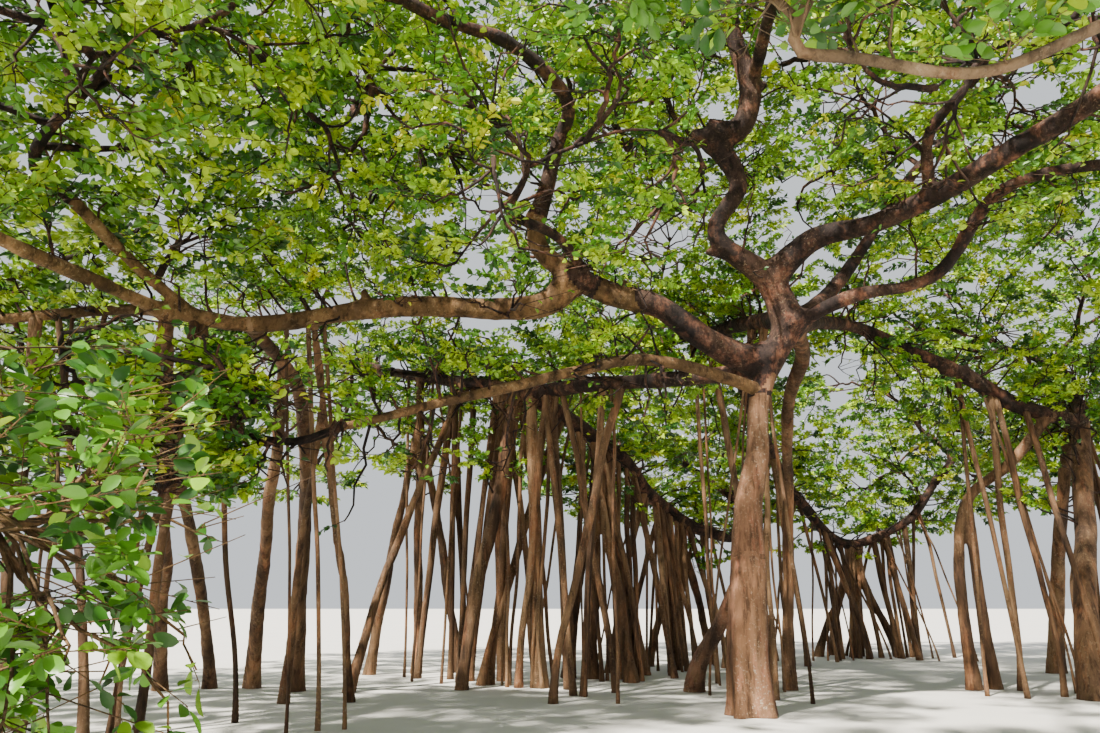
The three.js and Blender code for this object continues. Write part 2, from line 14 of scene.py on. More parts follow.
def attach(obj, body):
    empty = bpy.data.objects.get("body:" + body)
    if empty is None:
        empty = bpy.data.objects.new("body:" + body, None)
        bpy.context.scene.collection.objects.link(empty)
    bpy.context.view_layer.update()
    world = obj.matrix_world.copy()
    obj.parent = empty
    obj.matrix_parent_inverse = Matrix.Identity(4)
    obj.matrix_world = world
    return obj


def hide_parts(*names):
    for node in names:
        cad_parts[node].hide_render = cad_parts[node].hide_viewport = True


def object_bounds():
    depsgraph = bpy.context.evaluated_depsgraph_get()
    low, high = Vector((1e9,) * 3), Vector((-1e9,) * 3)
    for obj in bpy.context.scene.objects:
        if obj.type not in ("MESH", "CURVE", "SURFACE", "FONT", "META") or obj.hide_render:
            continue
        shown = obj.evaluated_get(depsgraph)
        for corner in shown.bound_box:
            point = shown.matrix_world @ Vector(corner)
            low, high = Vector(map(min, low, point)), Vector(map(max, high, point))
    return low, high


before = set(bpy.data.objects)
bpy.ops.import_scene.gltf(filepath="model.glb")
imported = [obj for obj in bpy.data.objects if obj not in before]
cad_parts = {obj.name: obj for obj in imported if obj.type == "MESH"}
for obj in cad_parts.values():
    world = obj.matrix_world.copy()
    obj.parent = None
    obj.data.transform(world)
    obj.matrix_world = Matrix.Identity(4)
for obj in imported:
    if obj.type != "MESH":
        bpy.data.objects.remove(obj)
cad_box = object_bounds()

# Camera: the photograph's, at eye height, looking up a little
EYE = Vector((-2.892, -12.914, 1.6))
PITCH = math.radians(15.55)
FOCAL_PIXELS = 839
IMAGE_WIDTH, IMAGE_HEIGHT = 1100, 733
SENSOR = 36.0
VIEW_CELL = 4  # pixels, of the map of what leaves would hide
VIEW_STEP = 0.12  # between the places along a limb that go into the map
VIEW_MARGIN = 5  # pixels kept clear beside a limb
HALF_WIDTH, HALF_HEIGHT = 550, 366  # of the frame, in pixels
WIDER_HALVES = (700, 500)  # of the frame with a rim for limbs that just leave it
NEAREST, IN_FRONT = 0.2, 0.5  # metres ahead of the eye
BEHIND = 0.15  # a leaf this near to a limb's depth doesn't hide it
VIEW_CLEARING = 0.85  # share of the shoots and of the leaves taken off a limb in view
GAP_CLEARING = 0.82
SKY_GAPS = [  # middle and half-size in the frame, in pixels, of the crown's larger openings
    ((655, 238), (38, 18)), ((795, 52), (20, 20)), ((870, 98), (44, 20)), ((917, 170), (24, 13)),
    ((846, 372), (20, 20)), ((484, 203), (22, 20)), ((192, 243), (22, 12)), ((1030, 90), (30, 26)),
    ((380, 440), (24, 14)),
]
NEAR_VIEWS = {  # left, right, top and bottom of where the leaves nearest to the eye may show
    "leaves_near_left": [(-1500, 214, 338, 2000)],
    "leaves_near_right": [(560, 2500, -2500, 58), (1015, 2500, -2500, 160)],
}

# The rule of the solids, repeated
TRUNK_SPREAD = 0.22
PILLAR_SPREAD = 0.3
FLARE_HEIGHT = 0.33
BURIED = 0.4
TRUNK_RIBS = 0.05
RIB_COUNT = 5
RIBS_ABOVE = 0.35  # how much of the ribs is left above the flare
COLLAR = 0.35
PILLAR_HEIGHTS = [0, 0.35, 0.7, 1]  # of a root's bends, as shares of its height
PILLAR_BOW = 1.2
PILLAR_JOINT = 0.82
PILLAR_JOINT_STEP = 0.04
OWN_JOINTS = {"pillar_right_double": 0.62}
STEM_REACH = 0.35
STEM_END_RADIUS = 0.05
FIRST_FORK, LAST_FORK = 0.3, 0.99
TWIG_LEAD = 0.3
SHELL, REACH = 0.35, 0.7
CANDIDATES = 8
FIRST_SEED, SEED_STEP = 1000, 37
SPACE_MARGIN = 0.035
BLADE_THICKNESS = 0.06
TWIG_WIDTH = 0.075
LIMB_MARGIN = 0.06
LIMB_PROBE = 0.16

# Bark relief
VOXEL = 0.038
RING_STEP = 0.06
LIMB_SIDES = {"trunk": 56, "bough": 20, "pillar": 18}
SWAY = 0.35  # of a limb's line to and fro, as a share of its radius
FLUTES = {  # (grains of noise in a radius, grains in a metre along, depth as a share of the radius)
    "trunk": [(1.7, 0.35, 0.07), (4.5, 0.8, 0.035)],
    "bough": [(1.1, 0.9, 0.1), (2.4, 2.2, 0.07)],
    "pillar": [(1.2, 0.25, 0.16), (2.6, 0.6, 0.09)],
}
RELIEF = [(0.3, 0.012, 3), (0.12, 0.007, 4)]  # size, depth and seed
RELIEF_STRETCH = 0.55  # the less, the more it is drawn out upward
FLUTE_CUT = 0.7
SWAY_GRAIN = 0.9
FOOT_LOBES, FOOT_LOBE_DEPTH = (1.4, 1.4, 0.1), 0.45
SEAMS = [0.4, 1.5, 2.7, 3.7, 5.1]  # angles round the trunk of the grooves between its fused roots
SEAM_WIDTH, SEAM_DEPTH = 0.2, 0.17
SEAM_BEND, SEAM_GRAIN = 0.35, 0.6
TOE_DEPTH = 0.2  # of the hollows between the trunk's toes, as a share of its radius
TOE_SHARPNESS = 1.5
STUBS = [  # limb, share of its length, direction, radius and length
    ("bough_up_lower", 0.96, (-1, -0.4, 0.15), 0.15, 0.42),
    ("bough_up_lower", 0.42, (-1, -0.3, -0.1), 0.09, 0.34),
    ("bough_up_upper", 0.5, (1, -0.3, 0.5), 0.08, 0.3),
    ("bough_right_upper", 0.26, (-0.1, -1, 0.1), 0.07, 0.24),
    ("bough_right_lower", 0.4, (0.1, -0.7, 0.7), 0.06, 0.2),
    ("bough_left_lower", 0.55, (-0.4, -0.5, 1), 0.08, 0.36),
    ("bough_left_long", 0.4, (-0.3, -0.5, 0.9), 0.07, 0.3),
    ("bough_left_upper", 0.5, (-1, -0.2, 0.3), 0.05, 0.2),
    ("bough_back_right", 0.5, (0.3, -0.4, 1), 0.07, 0.3),
]
SLENDER_ROOTS = [  # bough, how many, the shares of its length between which they leave it, drift
    ("bough_back_left", 20, 0.25, 0.97, 0.6), ("bough_sweep_left", 30, 0.05, 0.9, 0.6),
    ("bough_sweep_right", 26, 0.3, 0.97, 0.6), ("bough_back_right", 14, 0.35, 0.97, 0.6),
    ("bough_back", 10, 0.3, 0.9, 0.6), ("bough_left_long", 10, 0.45, 0.95, 0.6),
    ("bough_sweep_right", 20, 0.66, 0.88, 0.35), ("bough_sweep_left", 14, 0.42, 0.62, 0.35),
    ("bough_sweep_left", 10, 0.12, 0.26, 0.4), ("bough_back_left", 8, 0.54, 0.7, 0.4),
]
SLENDER_ROOT_RADIUS = (0.018, 0.07)
SLENDER_ROOT_RINGS, SLENDER_ROOT_SIDES = 26, 7
SLENDER_ROOT_WAVE, SLENDER_ROOT_GRAIN = 0.05, 0.8
SLENDER_ROOT_BIAS = 1.6  # the higher, the more thin ones there are
SLENDER_FLARE, SLENDER_FLARE_HEIGHT = 0.6, 0.25
SLENDER_WIDENING = 0.4  # from the ground up to the bough
STUB_SIDES = 12
STUB_PROFILE = [1.5, 1.35, 1.12, 0.98, 0.95, 0.92, 0.75, 0.35]  # of its radius, from root to end
ROOTS_PARTED = -2.6  # where the roots' skin is parted in two, by the last foot of each
LEG_LEAN = math.radians(55)  # of the bark on the trunk's leg, from upright to the front
TRUNK_TOP = 4.95  # where the pale bark of the trunk gives way to the boughs' dark bark
FILLET_REACH, FILLET_RIM = 1.5, 0.15  # from a joint, in radii and in metres
FILLET_END = 1.6  # where fillets have faded out, in reaches
FILLET_ROUNDS = 9
SMOOTHING = 0.25  # how far each round draws a point to its neighbours

# Finer growth
ROOT_SEED, MASS_SEED = 77, 400
BOX_MARGIN = 0.08
BRANCHLET_SHELL, BRANCHLET_REACH = 0.3, 0.93
BRANCHLET_STEPS = 6
BRANCHLET_TRIES = 30  # drawn for each
BRANCHLET_WANDER, BRANCHLET_WAVE = 0.2, 0.08
TOO_NEAR = 0.2  # a branchlet doesn't spring from a place this near to its end
PARENT_STEP, BOUGH_STEP = 0.15, 0.2  # between the places on twigs and boughs that branchlets leave
WAVE_GRAIN = 0.95
SIDE_BOUGHS = 9  # sinuous limbs in each mass but the nearest
SIDE_BOUGH_STEPS = 16
SIDE_BOUGH_BASE, SIDE_BOUGH_TIP = 0.055, 0.02
SIDE_BOUGH_WAVE = 0.13
BOUGH_SPRAYS = {  # mass: (limb, how many, from and to which share of its length)
    "leaves_back_left": [("bough_back_left", 60, 0.15, 1), ("bough_left_long", 24, 0.35, 1),
                         ("pillar_left_c", 9, 0.62, 1), ("pillar_middle_a", 10, 0.62, 1),
                         ("pillar_left_pair", 9, 0.66, 1), ("pillar_middle_c", 8, 0.62, 1),
                         ("pillar_back_left_group", 12, 0.6, 1)],
    "leaves_far": [("bough_sweep_left", 70, 0.05, 1), ("pillar_middle_group", 10, 0.6, 1)],
    "leaves_far_right": [("bough_sweep_right", 60, 0.3, 1)],
    "leaves_back_right": [("bough_back_right", 66, 0.2, 1), ("pillar_back_right", 12, 0.6, 1),
                          ("pillar_right_edge", 12, 0.6, 1)],
    "leaves_back": [("bough_back", 34, 0.25, 1)],
    "leaves_inner_left": [("bough_left_lower", 6, 0.45, 0.8), ("bough_left_long", 8, 0.05, 0.5)],
    "leaves_inner_right": [("bough_up_lower", 4, 0.1, 0.5), ("bough_right_lower", 6, 0.1, 0.6)],
    "leaves_left_low": [("bough_left_slender", 36, 0.25, 0.97)],
}
SPRAY_REACH = (0.5, 1.5)
SPRAY_ALONG, SPRAY_UP = 0.4, 0.35  # how far sprays follow their limb and rise, to about 1 outward
SPRAY_WANDER = 0.035
SPRAY_LOWEST = 2.3
BRANCHLET_RADII = (0.024, 0.01)
NEAR_FINENESS = 0.42  # thickness of the nearest branchlets and shoots, to the others'
TWIG_BASE, TWIG_TIP = 0.055, 0.022
TWIG_WAVE, NEAR_TWIG_WAVE = 0.05, 0.03
TWIG_RING_STEP, NEAR_TWIG_RING_STEP = 0.2, 0.1
TWIG_SIDES, SIDE_BOUGH_SIDES, FINE_SIDES = 7, 6, 3
SHOOTS = 9  # on each branchlet
SHOOT_STEPS = 1
SHOOT_LENGTH = (0.45, 0.95)
NEAR_SHOOTS, SMALL_SHOOTS = 0.5, 0.85  # of that length, in the nearest and in the small masses
FREE_SHOOTS = 0.6  # of that length, on the limbs' own sprays
FIRST_SHOOT, SHOOT_JITTER = 0.3, 0.04  # share of a branchlet
SHOOT_TURN, END_SHOOT_TURN = (0.5, 1.5), 0.2  # to the side, and how much of it at the end
SHOOT_RISE, SHOOT_CLIMB = (-0.25, 0.45), 0.4  # its own, and how much its branchlet's adds
SHOOT_CLEARANCE, SHOOT_WANDER = 0.02, 0.03
SHOOT_RADII = (0.008, 0.004)
LEAF_WIDTH = 0.7
NEAR_LEAF_WIDTH = 0.58
LEAF_TILT = 0.6
LEAF_TURN = 2.4  # round the shoot, from one leaf to the next
LEAF_OPENING = (1, 0.65)  # to the side, from the shoot's first leaf to its last
LEAF_STEEPNESS = 0.5  # how much of its way up or down a leaf keeps
LEAF_FORWARD, LEAF_UNEVENNESS, LEAF_SAG = 0.55, 0.18, 0.12
LEAF_FACING = 0.15  # outward, to 1 upward
LEAF_JITTER = 0.03
FIRST_LEAF, NEAR_FIRST_LEAF = 0.3, 0.5  # share of a shoot at which its leaves begin
LEAF_LOSS = 0.06
LEAF_SIZES = (0.68, 1.12)
BOUGH_LEAF = 0.74  # size of the leaves on the boughs' own sprays, to the mass's
LEAF_COLOURS = [  # name, colour, share of the sprays, and of the nearest sprays
    ("leaf_bright", (0.32, 0.46, 0.008), 0.31, 0.02),
    ("leaf_fresh", (0.17, 0.33, 0.007), 0.33, 0.16),
    ("leaf_mid", (0.07, 0.2, 0.008), 0.22, 0.44),
    ("leaf_deep", (0.022, 0.085, 0.007), 0.12, 0.37),
    ("leaf_young", (0.44, 0.47, 0.012), 0.02, 0.01),
]
LEAF_SHADES = (0.75, 1, 1.25)  # of a leaf's colour, from place to place
# A leaf one unit long from its stalk along +X. The nearest has stations of (share of the
# length, half-width), and the others are points with the corners of their four- and three-sided faces
NEAR_STATIONS = [(0, 0), (0.1, 0.2), (0.35, 0.43), (0.62, 0.5), (0.86, 0.33), (1, 0)]
NEAR_FOLD, NEAR_DROOP = 0.2, 0.1
NEAR_STALK = 0.2  # length of a stalk, as a share of the leaf's
STALK_RADIUS = 0.0018
MIDDLE_LEAF = (
    np.array([(0, 0, 0), (0.27, -0.4, 0.1), (0.68, -0.4, 0.08), (1, 0, -0.08), (0.68, 0.4, 0.08),
              (0.27, 0.4, 0.1)], float),
    np.array([(0, 1, 2, 3), (0, 3, 4, 5)]), np.zeros((0, 3), int),
)
FAR_LEAF = (
    np.array([(0, 0, 0), (0.42, -0.46, 0.1), (1, 0, -0.06), (0.42, 0.46, 0.1)], float),
    np.zeros((0, 4), int), np.array([(0, 1, 2), (0, 2, 3)]),
)

# Colours of the bark and its run: browns of the ground, worn patches, stains, flecks, how far
# the grain is drawn out along the limb, and its lean to the front
TRUNK_COLOURS = ([(0.115, 0.052, 0.026), (0.23, 0.113, 0.056), (0.36, 0.2, 0.11)],
                 [(0.4, 0.127, 0.066), (0.6, 0.29, 0.17)], (0.032, 0.018, 0.01), (0.55, 0.46, 0.35))
BARKS = {
    "bark": ([(0.012, 0.006, 0.005), (0.032, 0.0155, 0.011), (0.085, 0.044, 0.027)],
             [(0.125, 0.044, 0.025), (0.35, 0.145, 0.078)], (0.004, 0.003, 0.003), (0.24, 0.17, 0.11), 0.5),
    # painted sunlight: a lighter, warmer bark for the left boughs, the slender boughs and the nearest left
    # twigs
    "painted_sunlit_bark": ([(0.08, 0.04, 0.016), (0.19, 0.105, 0.04), (0.34, 0.2, 0.085)],
                       [(0.29, 0.13, 0.05), (0.5, 0.28, 0.125)], (0.02, 0.012, 0.007),
                       (0.46, 0.36, 0.22), 0.5),
    "trunk_bark": (*TRUNK_COLOURS, 0.17),
    "leg_bark": (*TRUNK_COLOURS, 0.17, LEG_LEAN),
    "root_bark": ([(0.075, 0.037, 0.019), (0.175, 0.093, 0.045), (0.32, 0.19, 0.096)],
                  [(0.31, 0.11, 0.048), (0.5, 0.25, 0.115)], (0.016, 0.011, 0.008),
                  (0.36, 0.27, 0.18), 0.15),
    "pale_bark": ([(0.16, 0.1, 0.052), (0.27, 0.18, 0.1), (0.4, 0.29, 0.17)],
                  [(0.28, 0.14, 0.07), (0.42, 0.27, 0.15)], (0.09, 0.055, 0.032),
                  (0.5, 0.4, 0.28), 0.4),
}
# the nearest left twigs take the bark painted lighter as painted sunlight
TWIG_BARKS = {"leaves_near_right": "pale_bark", "leaves_near_left": "painted_sunlit_bark"}

# Light
SKY, SKY_COLOUR = 0.92, (0.9, 0.95, 1, 1)
SUNS = {  # strength, breadth in degrees, colour, turn in degrees
    "key": (17.0, 2, (1, 0.94, 0.82), (38, -12, -25)),
    "fill": (1.9, 50, (1, 0.97, 0.93), (94, 0, -22)),
}
FLOOR_SIZE = 150

# How far along a limb leaves keep clear of it, where that isn't nearly to its end
CLEAR_TO = {"bough_left_slender": 0.8, "bough_right_lower": 0.85, "bough_back_right": 0.3}

PALE = "bough_pale"
# the left boughs whose bark is painted lighter and warmer, as painted sunlight
PAINTED_SUNLIT_BOUGHS = ["bough_left_long", "bough_left_lower", "bough_left_rising", "bough_front_left"]
PAINTED_SUNLIT_TO = -1.6  # painted sunlight: how far to the right the lighter, warmer bark of the left boughs reaches
SLENDER = (PALE, "bough_front_low", "bough_left_slender", "pillar_slanting")

TRUNK_BENDS = [(0, 0, 0), (0.09, 0, 1.9), (0.32, 0, 3.6), (0.45, 0, 4.8), (0.75, 0, 5.45), (1.03, 0, 5.95)]
TRUNK_RADII = [0.36, 0.34, 0.3, 0.24, 0.19, 0.17, 0.27]

# name: (parent, share of the parent's length, bends, radii)
BOUGHS = {
    "bough_up_lower": ("trunk", 0.99, [(0.69, -0.1, 6.54), (-0.27, -0.4, 7.24), (0.17, -0.5, 8.19),
        (-0.31, -0.7, 8.95)], [0.27, 0.23, 0.19, 0.17, 0.17, 0.22]),
    "bough_up_upper": ("bough_up_lower", 1, [(0.17, -0.8, 9), (0.41, -0.9, 9.55), (0.1, -1.1, 10.7)],
        [0.22, 0.2, 0.15]),
    "bough_right_upper": ("bough_up_lower", 0.2, [(1.3, -0.6, 7.1), (2.1, -1.3, 7.1), (3.5, -3.6, 7.4),
        (5.6, -6.2, 7.7)], [0.23, 0.18, 0.17, 0.15, 0.12]),
    "bough_right_lower": ("trunk", 0.99, [(1.8, -0.6, 6.14), (2.86, -1.2, 6.28), (3.71, -2, 7.3),
        (6.4, -3, 7.3)], [0.16, 0.12, 0.11, 0.1, 0.09]),
    "bough_left_lower": ("trunk", 0.89, [(0.15, 0, 5.37), (-1.31, -0.4, 6.09), (-2.11, -0.6, 6.24),
        (-3.05, -0.9, 6.86), (-3.11, -1, 7.25)], [0.27, 0.23, 0.22, 0.22, 0.16]),
    "bough_left_upper": ("bough_left_lower", 1, [(-2.74, -1.3, 8.4), (-2.61, -1.5, 8.97),
        (-3.48, -2.3, 9.46), (-4.3, -2.6, 9.6)], [0.16, 0.13, 0.13, 0.1]),
    "bough_left_slender": ("trunk", 0.8, [(-0.1, -0.15, 4.95), (-1.54, -0.8, 5.08), (-2.61, -1.3, 4.75),
        (-5.4, -3, 3.6)], [0.12, 0.095, 0.085, 0.075, 0.055]),
    "bough_left_long": ("bough_left_lower", 0.76, [(-2.95, -0.7, 6.02), (-5.6, -1.1, 5.8),
        (-7.3, -1.6, 5.38), (-8.3, -2, 5.42), (-10.2, -2.6, 5.1)], [0.24, 0.19, 0.17, 0.14, 0.1, 0.08]),
    "bough_left_rising": ("bough_left_long", 0.7, [(-8.35, -2.2, 5.85), (-9.1, -3, 6.6)], [0.11, 0.09]),
    "bough_top_right": ("trunk", 0.99, [(1.9, 0.7, 6.7), (3.4, 1.1, 8.6)], [0.19, 0.14, 0.11]),
    "bough_back": ("trunk", 0.99, [(1.15, 2.2, 6.7), (0.1, 5.9, 7.5)], [0.24, 0.17, 0.13]),
    "bough_back_left": ("trunk", 0.86, [(-0.92, 1.6, 5.35), (-1.93, 2.6, 5.6), (-3.3, 4, 5.75),
        (-4.8, 5.4, 6.3), (-6.6, 6.3, 6.8)], [0.16, 0.16, 0.17, 0.17, 0.16, 0.12]),
    "bough_sweep_left": ("bough_back_left", 0.58, [(-1.2, 6.4, 4.75), (0, 8.1, 3.75), (2.1, 10.2, 3.2),
        (2.9, 11.6, 4), (2.2, 12.6, 4.9)], [0.2, 0.19, 0.17, 0.17, 0.12]),
    "bough_sweep_right": ("bough_back", 0.67, [(3.9, 10.6, 4.5), (5.9, 12.4, 3.2), (7.8, 12.5, 3.9),
        (8.7, 12.4, 5)], [0.17, 0.16, 0.17, 0.13]),
    "bough_back_right": ("trunk", 0.99, [(2.9, 2.2, 6.6), (5.6, 3, 5.6), (7.3, 3.1, 4.95),
        (8.9, 5.5, 6.3)], [0.17, 0.14, 0.17, 0.17, 0.13]),
    "bough_inner_left": ("bough_left_lower", 0.68, [(-2.75, -1.5, 6.7), (-3.3, -2.1, 6.75)],
        [0.11, 0.08]),
    "bough_inner_right": ("bough_right_upper", 0.35, [(2.45, -2.4, 7.9), (2.75, -3, 8.3)], [0.11, 0.08]),
    "bough_front_left": ("bough_left_long", 0.74, [(-9.4, -5, 5.6), (-10.4, -7.6, 6.1)],
        [0.12, 0.1, 0.08]),
    "bough_front_low": ("bough_front_left", 0.76, [(-9, -8.4, 4.8), (-7.4, -9.4, 3.4), (-6.3, -9.8, 2.7)],
        [0.08, 0.055, 0.035]),
    "bough_front": ("bough_up_upper", 0.55, [(0.2, -4, 10.3), (-1.7, -8.3, 9.3)], [0.13, 0.1, 0.08]),
    "bough_pale": ("bough_right_upper", 0.76, [(3.6, -7.2, 6.4), (0.3, -9, 4.7), (-0.6, -9, 4.33),
        (-1.25, -9, 4.42)], [0.07, 0.045, 0.04, 0.036]),
}

# name: (feet, own bends, parent, share of the parent's length, radii)
PILLARS = {
    "trunk_leg": ([(-0.29, 3.3)], [], "trunk", 0.41, [0.19, 0.15, 0.13]),
    "pillar_second": ([(1.55, 3.6)], [(1.62, 3.6, 1.6), (1.8, 3.55, 3.8), (1.57, 2.6, 5),
        (1.6, 1.3, 5.75)], "trunk", 0.99, [0.14, 0.14, 0.13, 0.14, 0.16, 0.16]),
    "pillar_middle_a": ([(-4.52, 3.6)], [], "bough_back_left", 0.61, [0.12, 0.14, 0.17, 0.19]),
    "pillar_middle_b": ([(-3.06, 4)], [], "bough_back_left", 0.57, [0.16, 0.17]),
    "pillar_middle_c": ([(-3.85, 5.4)], [], "bough_back_left", 0.68, [0.16, 0.14]),
    "pillar_middle_group": ([(-2, 5.9), (-2.5, 6.2), (-1.25, 5.1), (-0.8, 6.9)], [], "bough_sweep_left",
        0.19, [0.17, 0.14, 0.13]),
    "pillar_left_pair": ([(-7.56, 3.4), (-8.5, 3.97)],
        [(-7.42, 2.8, 1.8), (-7.28, 2, 3.7), (-7.1, 0.8, 4.95)], "bough_left_long", 0.61,
        [0.18, 0.14, 0.14]),
    "pillar_left_forked": ([(-6.15, 1.7), (-7.17, 1.5)], [], "bough_left_long", 0.5, [0.1, 0.08, 0.07]),
    "pillar_left_c": ([(-6.5, 3.2)], [], "bough_back_left", 0.79, [0.13, 0.1]),
    "pillar_far_left": ([(-10.05, 3.5), (-9.3, 3.9)], [], "bough_left_long", 0.74, [0.15, 0.13, 0.12]),
    "pillar_slanting": ([(-8.35, -2.3)], [], "bough_left_long", 0.9, [0.07, 0.05]),
    "pillar_back_left_group": ([(-5.9, 7.2), (-5, 7.5), (-6.9, 6.9)], [], "bough_back_left", 0.92,
        [0.13, 0.11]),
    "pillar_back_group": ([(0.4, 9.5), (-0.4, 9.3), (1.3, 10)], [], "bough_sweep_left", 0.52,
        [0.13, 0.12, 0.14]),
    "pillar_far_group": ([(6.1, 13.1), (5, 13.1), (5.6, 13.8), (7.3, 13)], [], "bough_sweep_right", 0.76,
        [0.15, 0.14, 0.16]),
    "pillar_right_double": ([(4.95, 3.6), (5.4, 3.75)],
        [(4.98, 3.6, 2.2), (5.3, 3.55, 3.55), (6.1, 3.25, 4.2)], "bough_back_right", 0.66,
        [0.15, 0.13, 0.13]),
    "pillar_right_edge": ([(6.15, 2), (7.3, 3.9)], [], "bough_back_right", 0.74, [0.25, 0.21, 0.2]),
    "pillar_back_right": ([(8.6, 7.3)], [], "bough_back_right", 0.91, [0.21, 0.18, 0.14]),
    "pillar_front_right": ([(6.1, -6.6), (5.1, -6.9)], [], "bough_right_upper", 0.9, [0.16, 0.13, 0.11]),
    "pillar_front_left": ([(-10.9, -7.4), (-9.7, -7.3)], [], "bough_front_left", 0.71, [0.14, 0.11, 0.1]),
}

# name: (bough, middle, half-sizes, twigs, size of the solids' twigs, branchlets,
# leaves on a shoot, leaf length)
MASSES = {
    "leaves_top": ("bough_up_upper", (-0.6, 1.2, 11.3), (4.5, 4.6, 3.3), 7, 1, 160, 22, 0.13),
    "leaves_top_left": ("bough_left_upper", (-6.4, 0.6, 10.3), (3.9, 4.6, 3.2), 7, 1, 160, 22, 0.13),
    "leaves_top_right": ("bough_top_right", (5.2, 1.4, 10.6), (4, 4.6, 3.2), 7, 1, 150, 21, 0.14),
    "leaves_upper_left": ("bough_left_rising", (-8.3, -4, 7.9), (4, 3.5, 2.6), 7, 1, 124, 15, 0.145),
    "leaves_left": ("bough_left_long", (-13.4, -0.6, 6.6), (4.4, 5.8, 3.8), 6, 1, 104, 18, 0.205),
    "leaves_inner_left": ("bough_inner_left", (-3.2, -2.8, 7.1), (3.1, 2.9, 2.2), 6, 0.6, 84, 16, 0.115),
    "leaves_inner_right": ("bough_inner_right", (2.7, -3.6, 8.3), (3, 3, 2.3), 6, 0.6, 76, 16, 0.115),
    "leaves_left_low": ("bough_left_slender", (-6.9, -4.1, 3.5), (2.1, 1.7, 1.1), 5, 0.55, 96, 16, 0.115),
    "leaves_near_left": ("bough_front_low", (-5.1, -10, 2.05), (1.5, 1.1, 1.3), 5, 0.4, 128, 10, 0.088),
    "leaves_near_right": ("bough_pale", (-1.1, -9.1, 5.4), (2.1, 1.5, 1.3), 5, 0.5, 30, 11, 0.115),
    "leaves_back": ("bough_back", (0, 8.2, 8.5), (5, 4.6, 4.2), 7, 1, 130, 19, 0.16),
    "leaves_back_left": ("bough_back_left", (-9.3, 8, 7.6), (5.2, 5, 4.1), 6, 1, 120, 19, 0.165),
    "leaves_back_right": ("bough_back_right", (9, 8, 7.9), (4.9, 4.8, 4.2), 6, 1, 134, 19, 0.16),
    "leaves_far": ("bough_sweep_left", (0, 14.2, 7.2), (5.2, 3.9, 3.9), 7, 1, 108, 18, 0.19),
    "leaves_far_right": ("bough_sweep_right", (9.2, 14, 6.9), (5, 3.9, 3.7), 6, 1, 104, 18, 0.19),
    "leaves_right": ("bough_right_lower", (10.8, -0.8, 7.8), (4.9, 5, 3.9), 6, 1, 104, 18, 0.215),
    "leaves_front_right": ("bough_right_upper", (7.6, -8.6, 8.1), (5.2, 4.9, 3.6), 6, 1, 104, 18, 0.215),
    "leaves_front_left": ("bough_front_left", (-11.4, -10, 7.2), (4.8, 4.9, 3.6), 6, 1, 104, 18, 0.215),
    "leaves_front": ("bough_front", (-2.4, -11, 9.3), (4.8, 4.3, 3.2), 6, 1, 100, 18, 0.215),
}
MIDDLE_MASSES = ("leaves_inner_left", "leaves_inner_right", "leaves_upper_left", "leaves_left_low")


class Line:
    """The centripetal spline through some points, read by share of its length."""

    SAMPLES = 400

    def __init__(self, points):
        points = np.array(points, float)
        before, after = 2 * points[:1] - points[1:2], 2 * points[-1:] - points[-2:-1]
        p = np.concatenate([before, points, after])
        place = np.linspace(0, len(points) - 1, self.SAMPLES + 1)
        i = np.minimum(place.astype(int), len(points) - 2)
        w = (place - i)[:, None]
        p0, p1, p2, p3 = p[i], p[i + 1], p[i + 2], p[i + 3]
        spans = ((p0, p1), (p1, p2), (p2, p3))
        d0, d1, d2 = (np.sqrt(np.linalg.norm(b - a, axis=1))[:, None] for a, b in spans)
        t1 = ((p1 - p0) / d0 - (p2 - p0) / (d0 + d1) + (p2 - p1) / d1) * d1
        t2 = ((p2 - p1) / d1 - (p3 - p1) / (d1 + d2) + (p3 - p2) / d2) * d1
        cubic = 2 * p1 - 2 * p2 + t1 + t2
        square = -3 * p1 + 3 * p2 - 2 * t1 - t2
        self.samples = p1 + t1 * w + square * w**2 + cubic * w**3
        steps = np.linalg.norm(np.diff(self.samples, axis=0), axis=1)
        self.reached = np.concatenate([[0], np.cumsum(steps)])
        self.length = self.reached[-1]

    def at(self, share):
        reached = np.atleast_1d(share) * self.length
        return np.stack([np.interp(reached, self.reached, self.samples[:, k]) for k in range(3)], axis=1)

    def tangent(self, share, step=1e-3):
        share = np.atleast_1d(share)
        way = self.at(np.minimum(share + step, 1)) - self.at(np.maximum(share - step, 0))
        return unit(way)


def unit(vectors):
    return vectors / np.maximum(np.linalg.norm(vectors, axis=-1, keepdims=True), 1e-9)


def seeded(seed):
    """Park and Miller's generator, as the solids use it."""
    state = seed
    while True:
        state = state * 48271 % 2147483647
        yield state / 2147483647


def radius_at(radii, share):
    return np.interp(share, np.linspace(0, 1, len(radii)), radii)


PLACE_FACTORS, SEED_FACTOR = (73856093, 19349663, 83492791), 2654435761
MIXES = [(15, 2246822519), (13, 3266489917)]  # shift and factor
WORD, FINE_BITS = 0xFFFFFFFF, 0xFFFFFF


def noise(points, seed=0):
    """Smooth value noise of the points, from -1 to 1."""
    cell = np.floor(points).astype(np.int64)
    f = points - cell
    f = f * f * (3 - 2 * f)
    total = np.zeros(len(points))
    for corner in itertools.product((0, 1), repeat=3):
        x, y, z = ((cell + corner) * PLACE_FACTORS).T
        mixed = (x ^ y ^ z ^ (seed * SEED_FACTOR)) & WORD
        for shift, factor in MIXES:
            mixed = (mixed ^ (mixed >> shift)) * factor & WORD
        value = ((mixed ^ (mixed >> 16)) & FINE_BITS) / FINE_BITS
        wx, wy, wz = np.where(corner, f, 1 - f).T
        total += value * (wx * wy) * wz
    return 2 * total - 1


def noise_along(along, across, up, seed):
    """Noise read at places along a line that has the other two coordinates fixed."""
    return noise(np.stack([along, along * 0 + across, along * 0 + up], 1), seed)


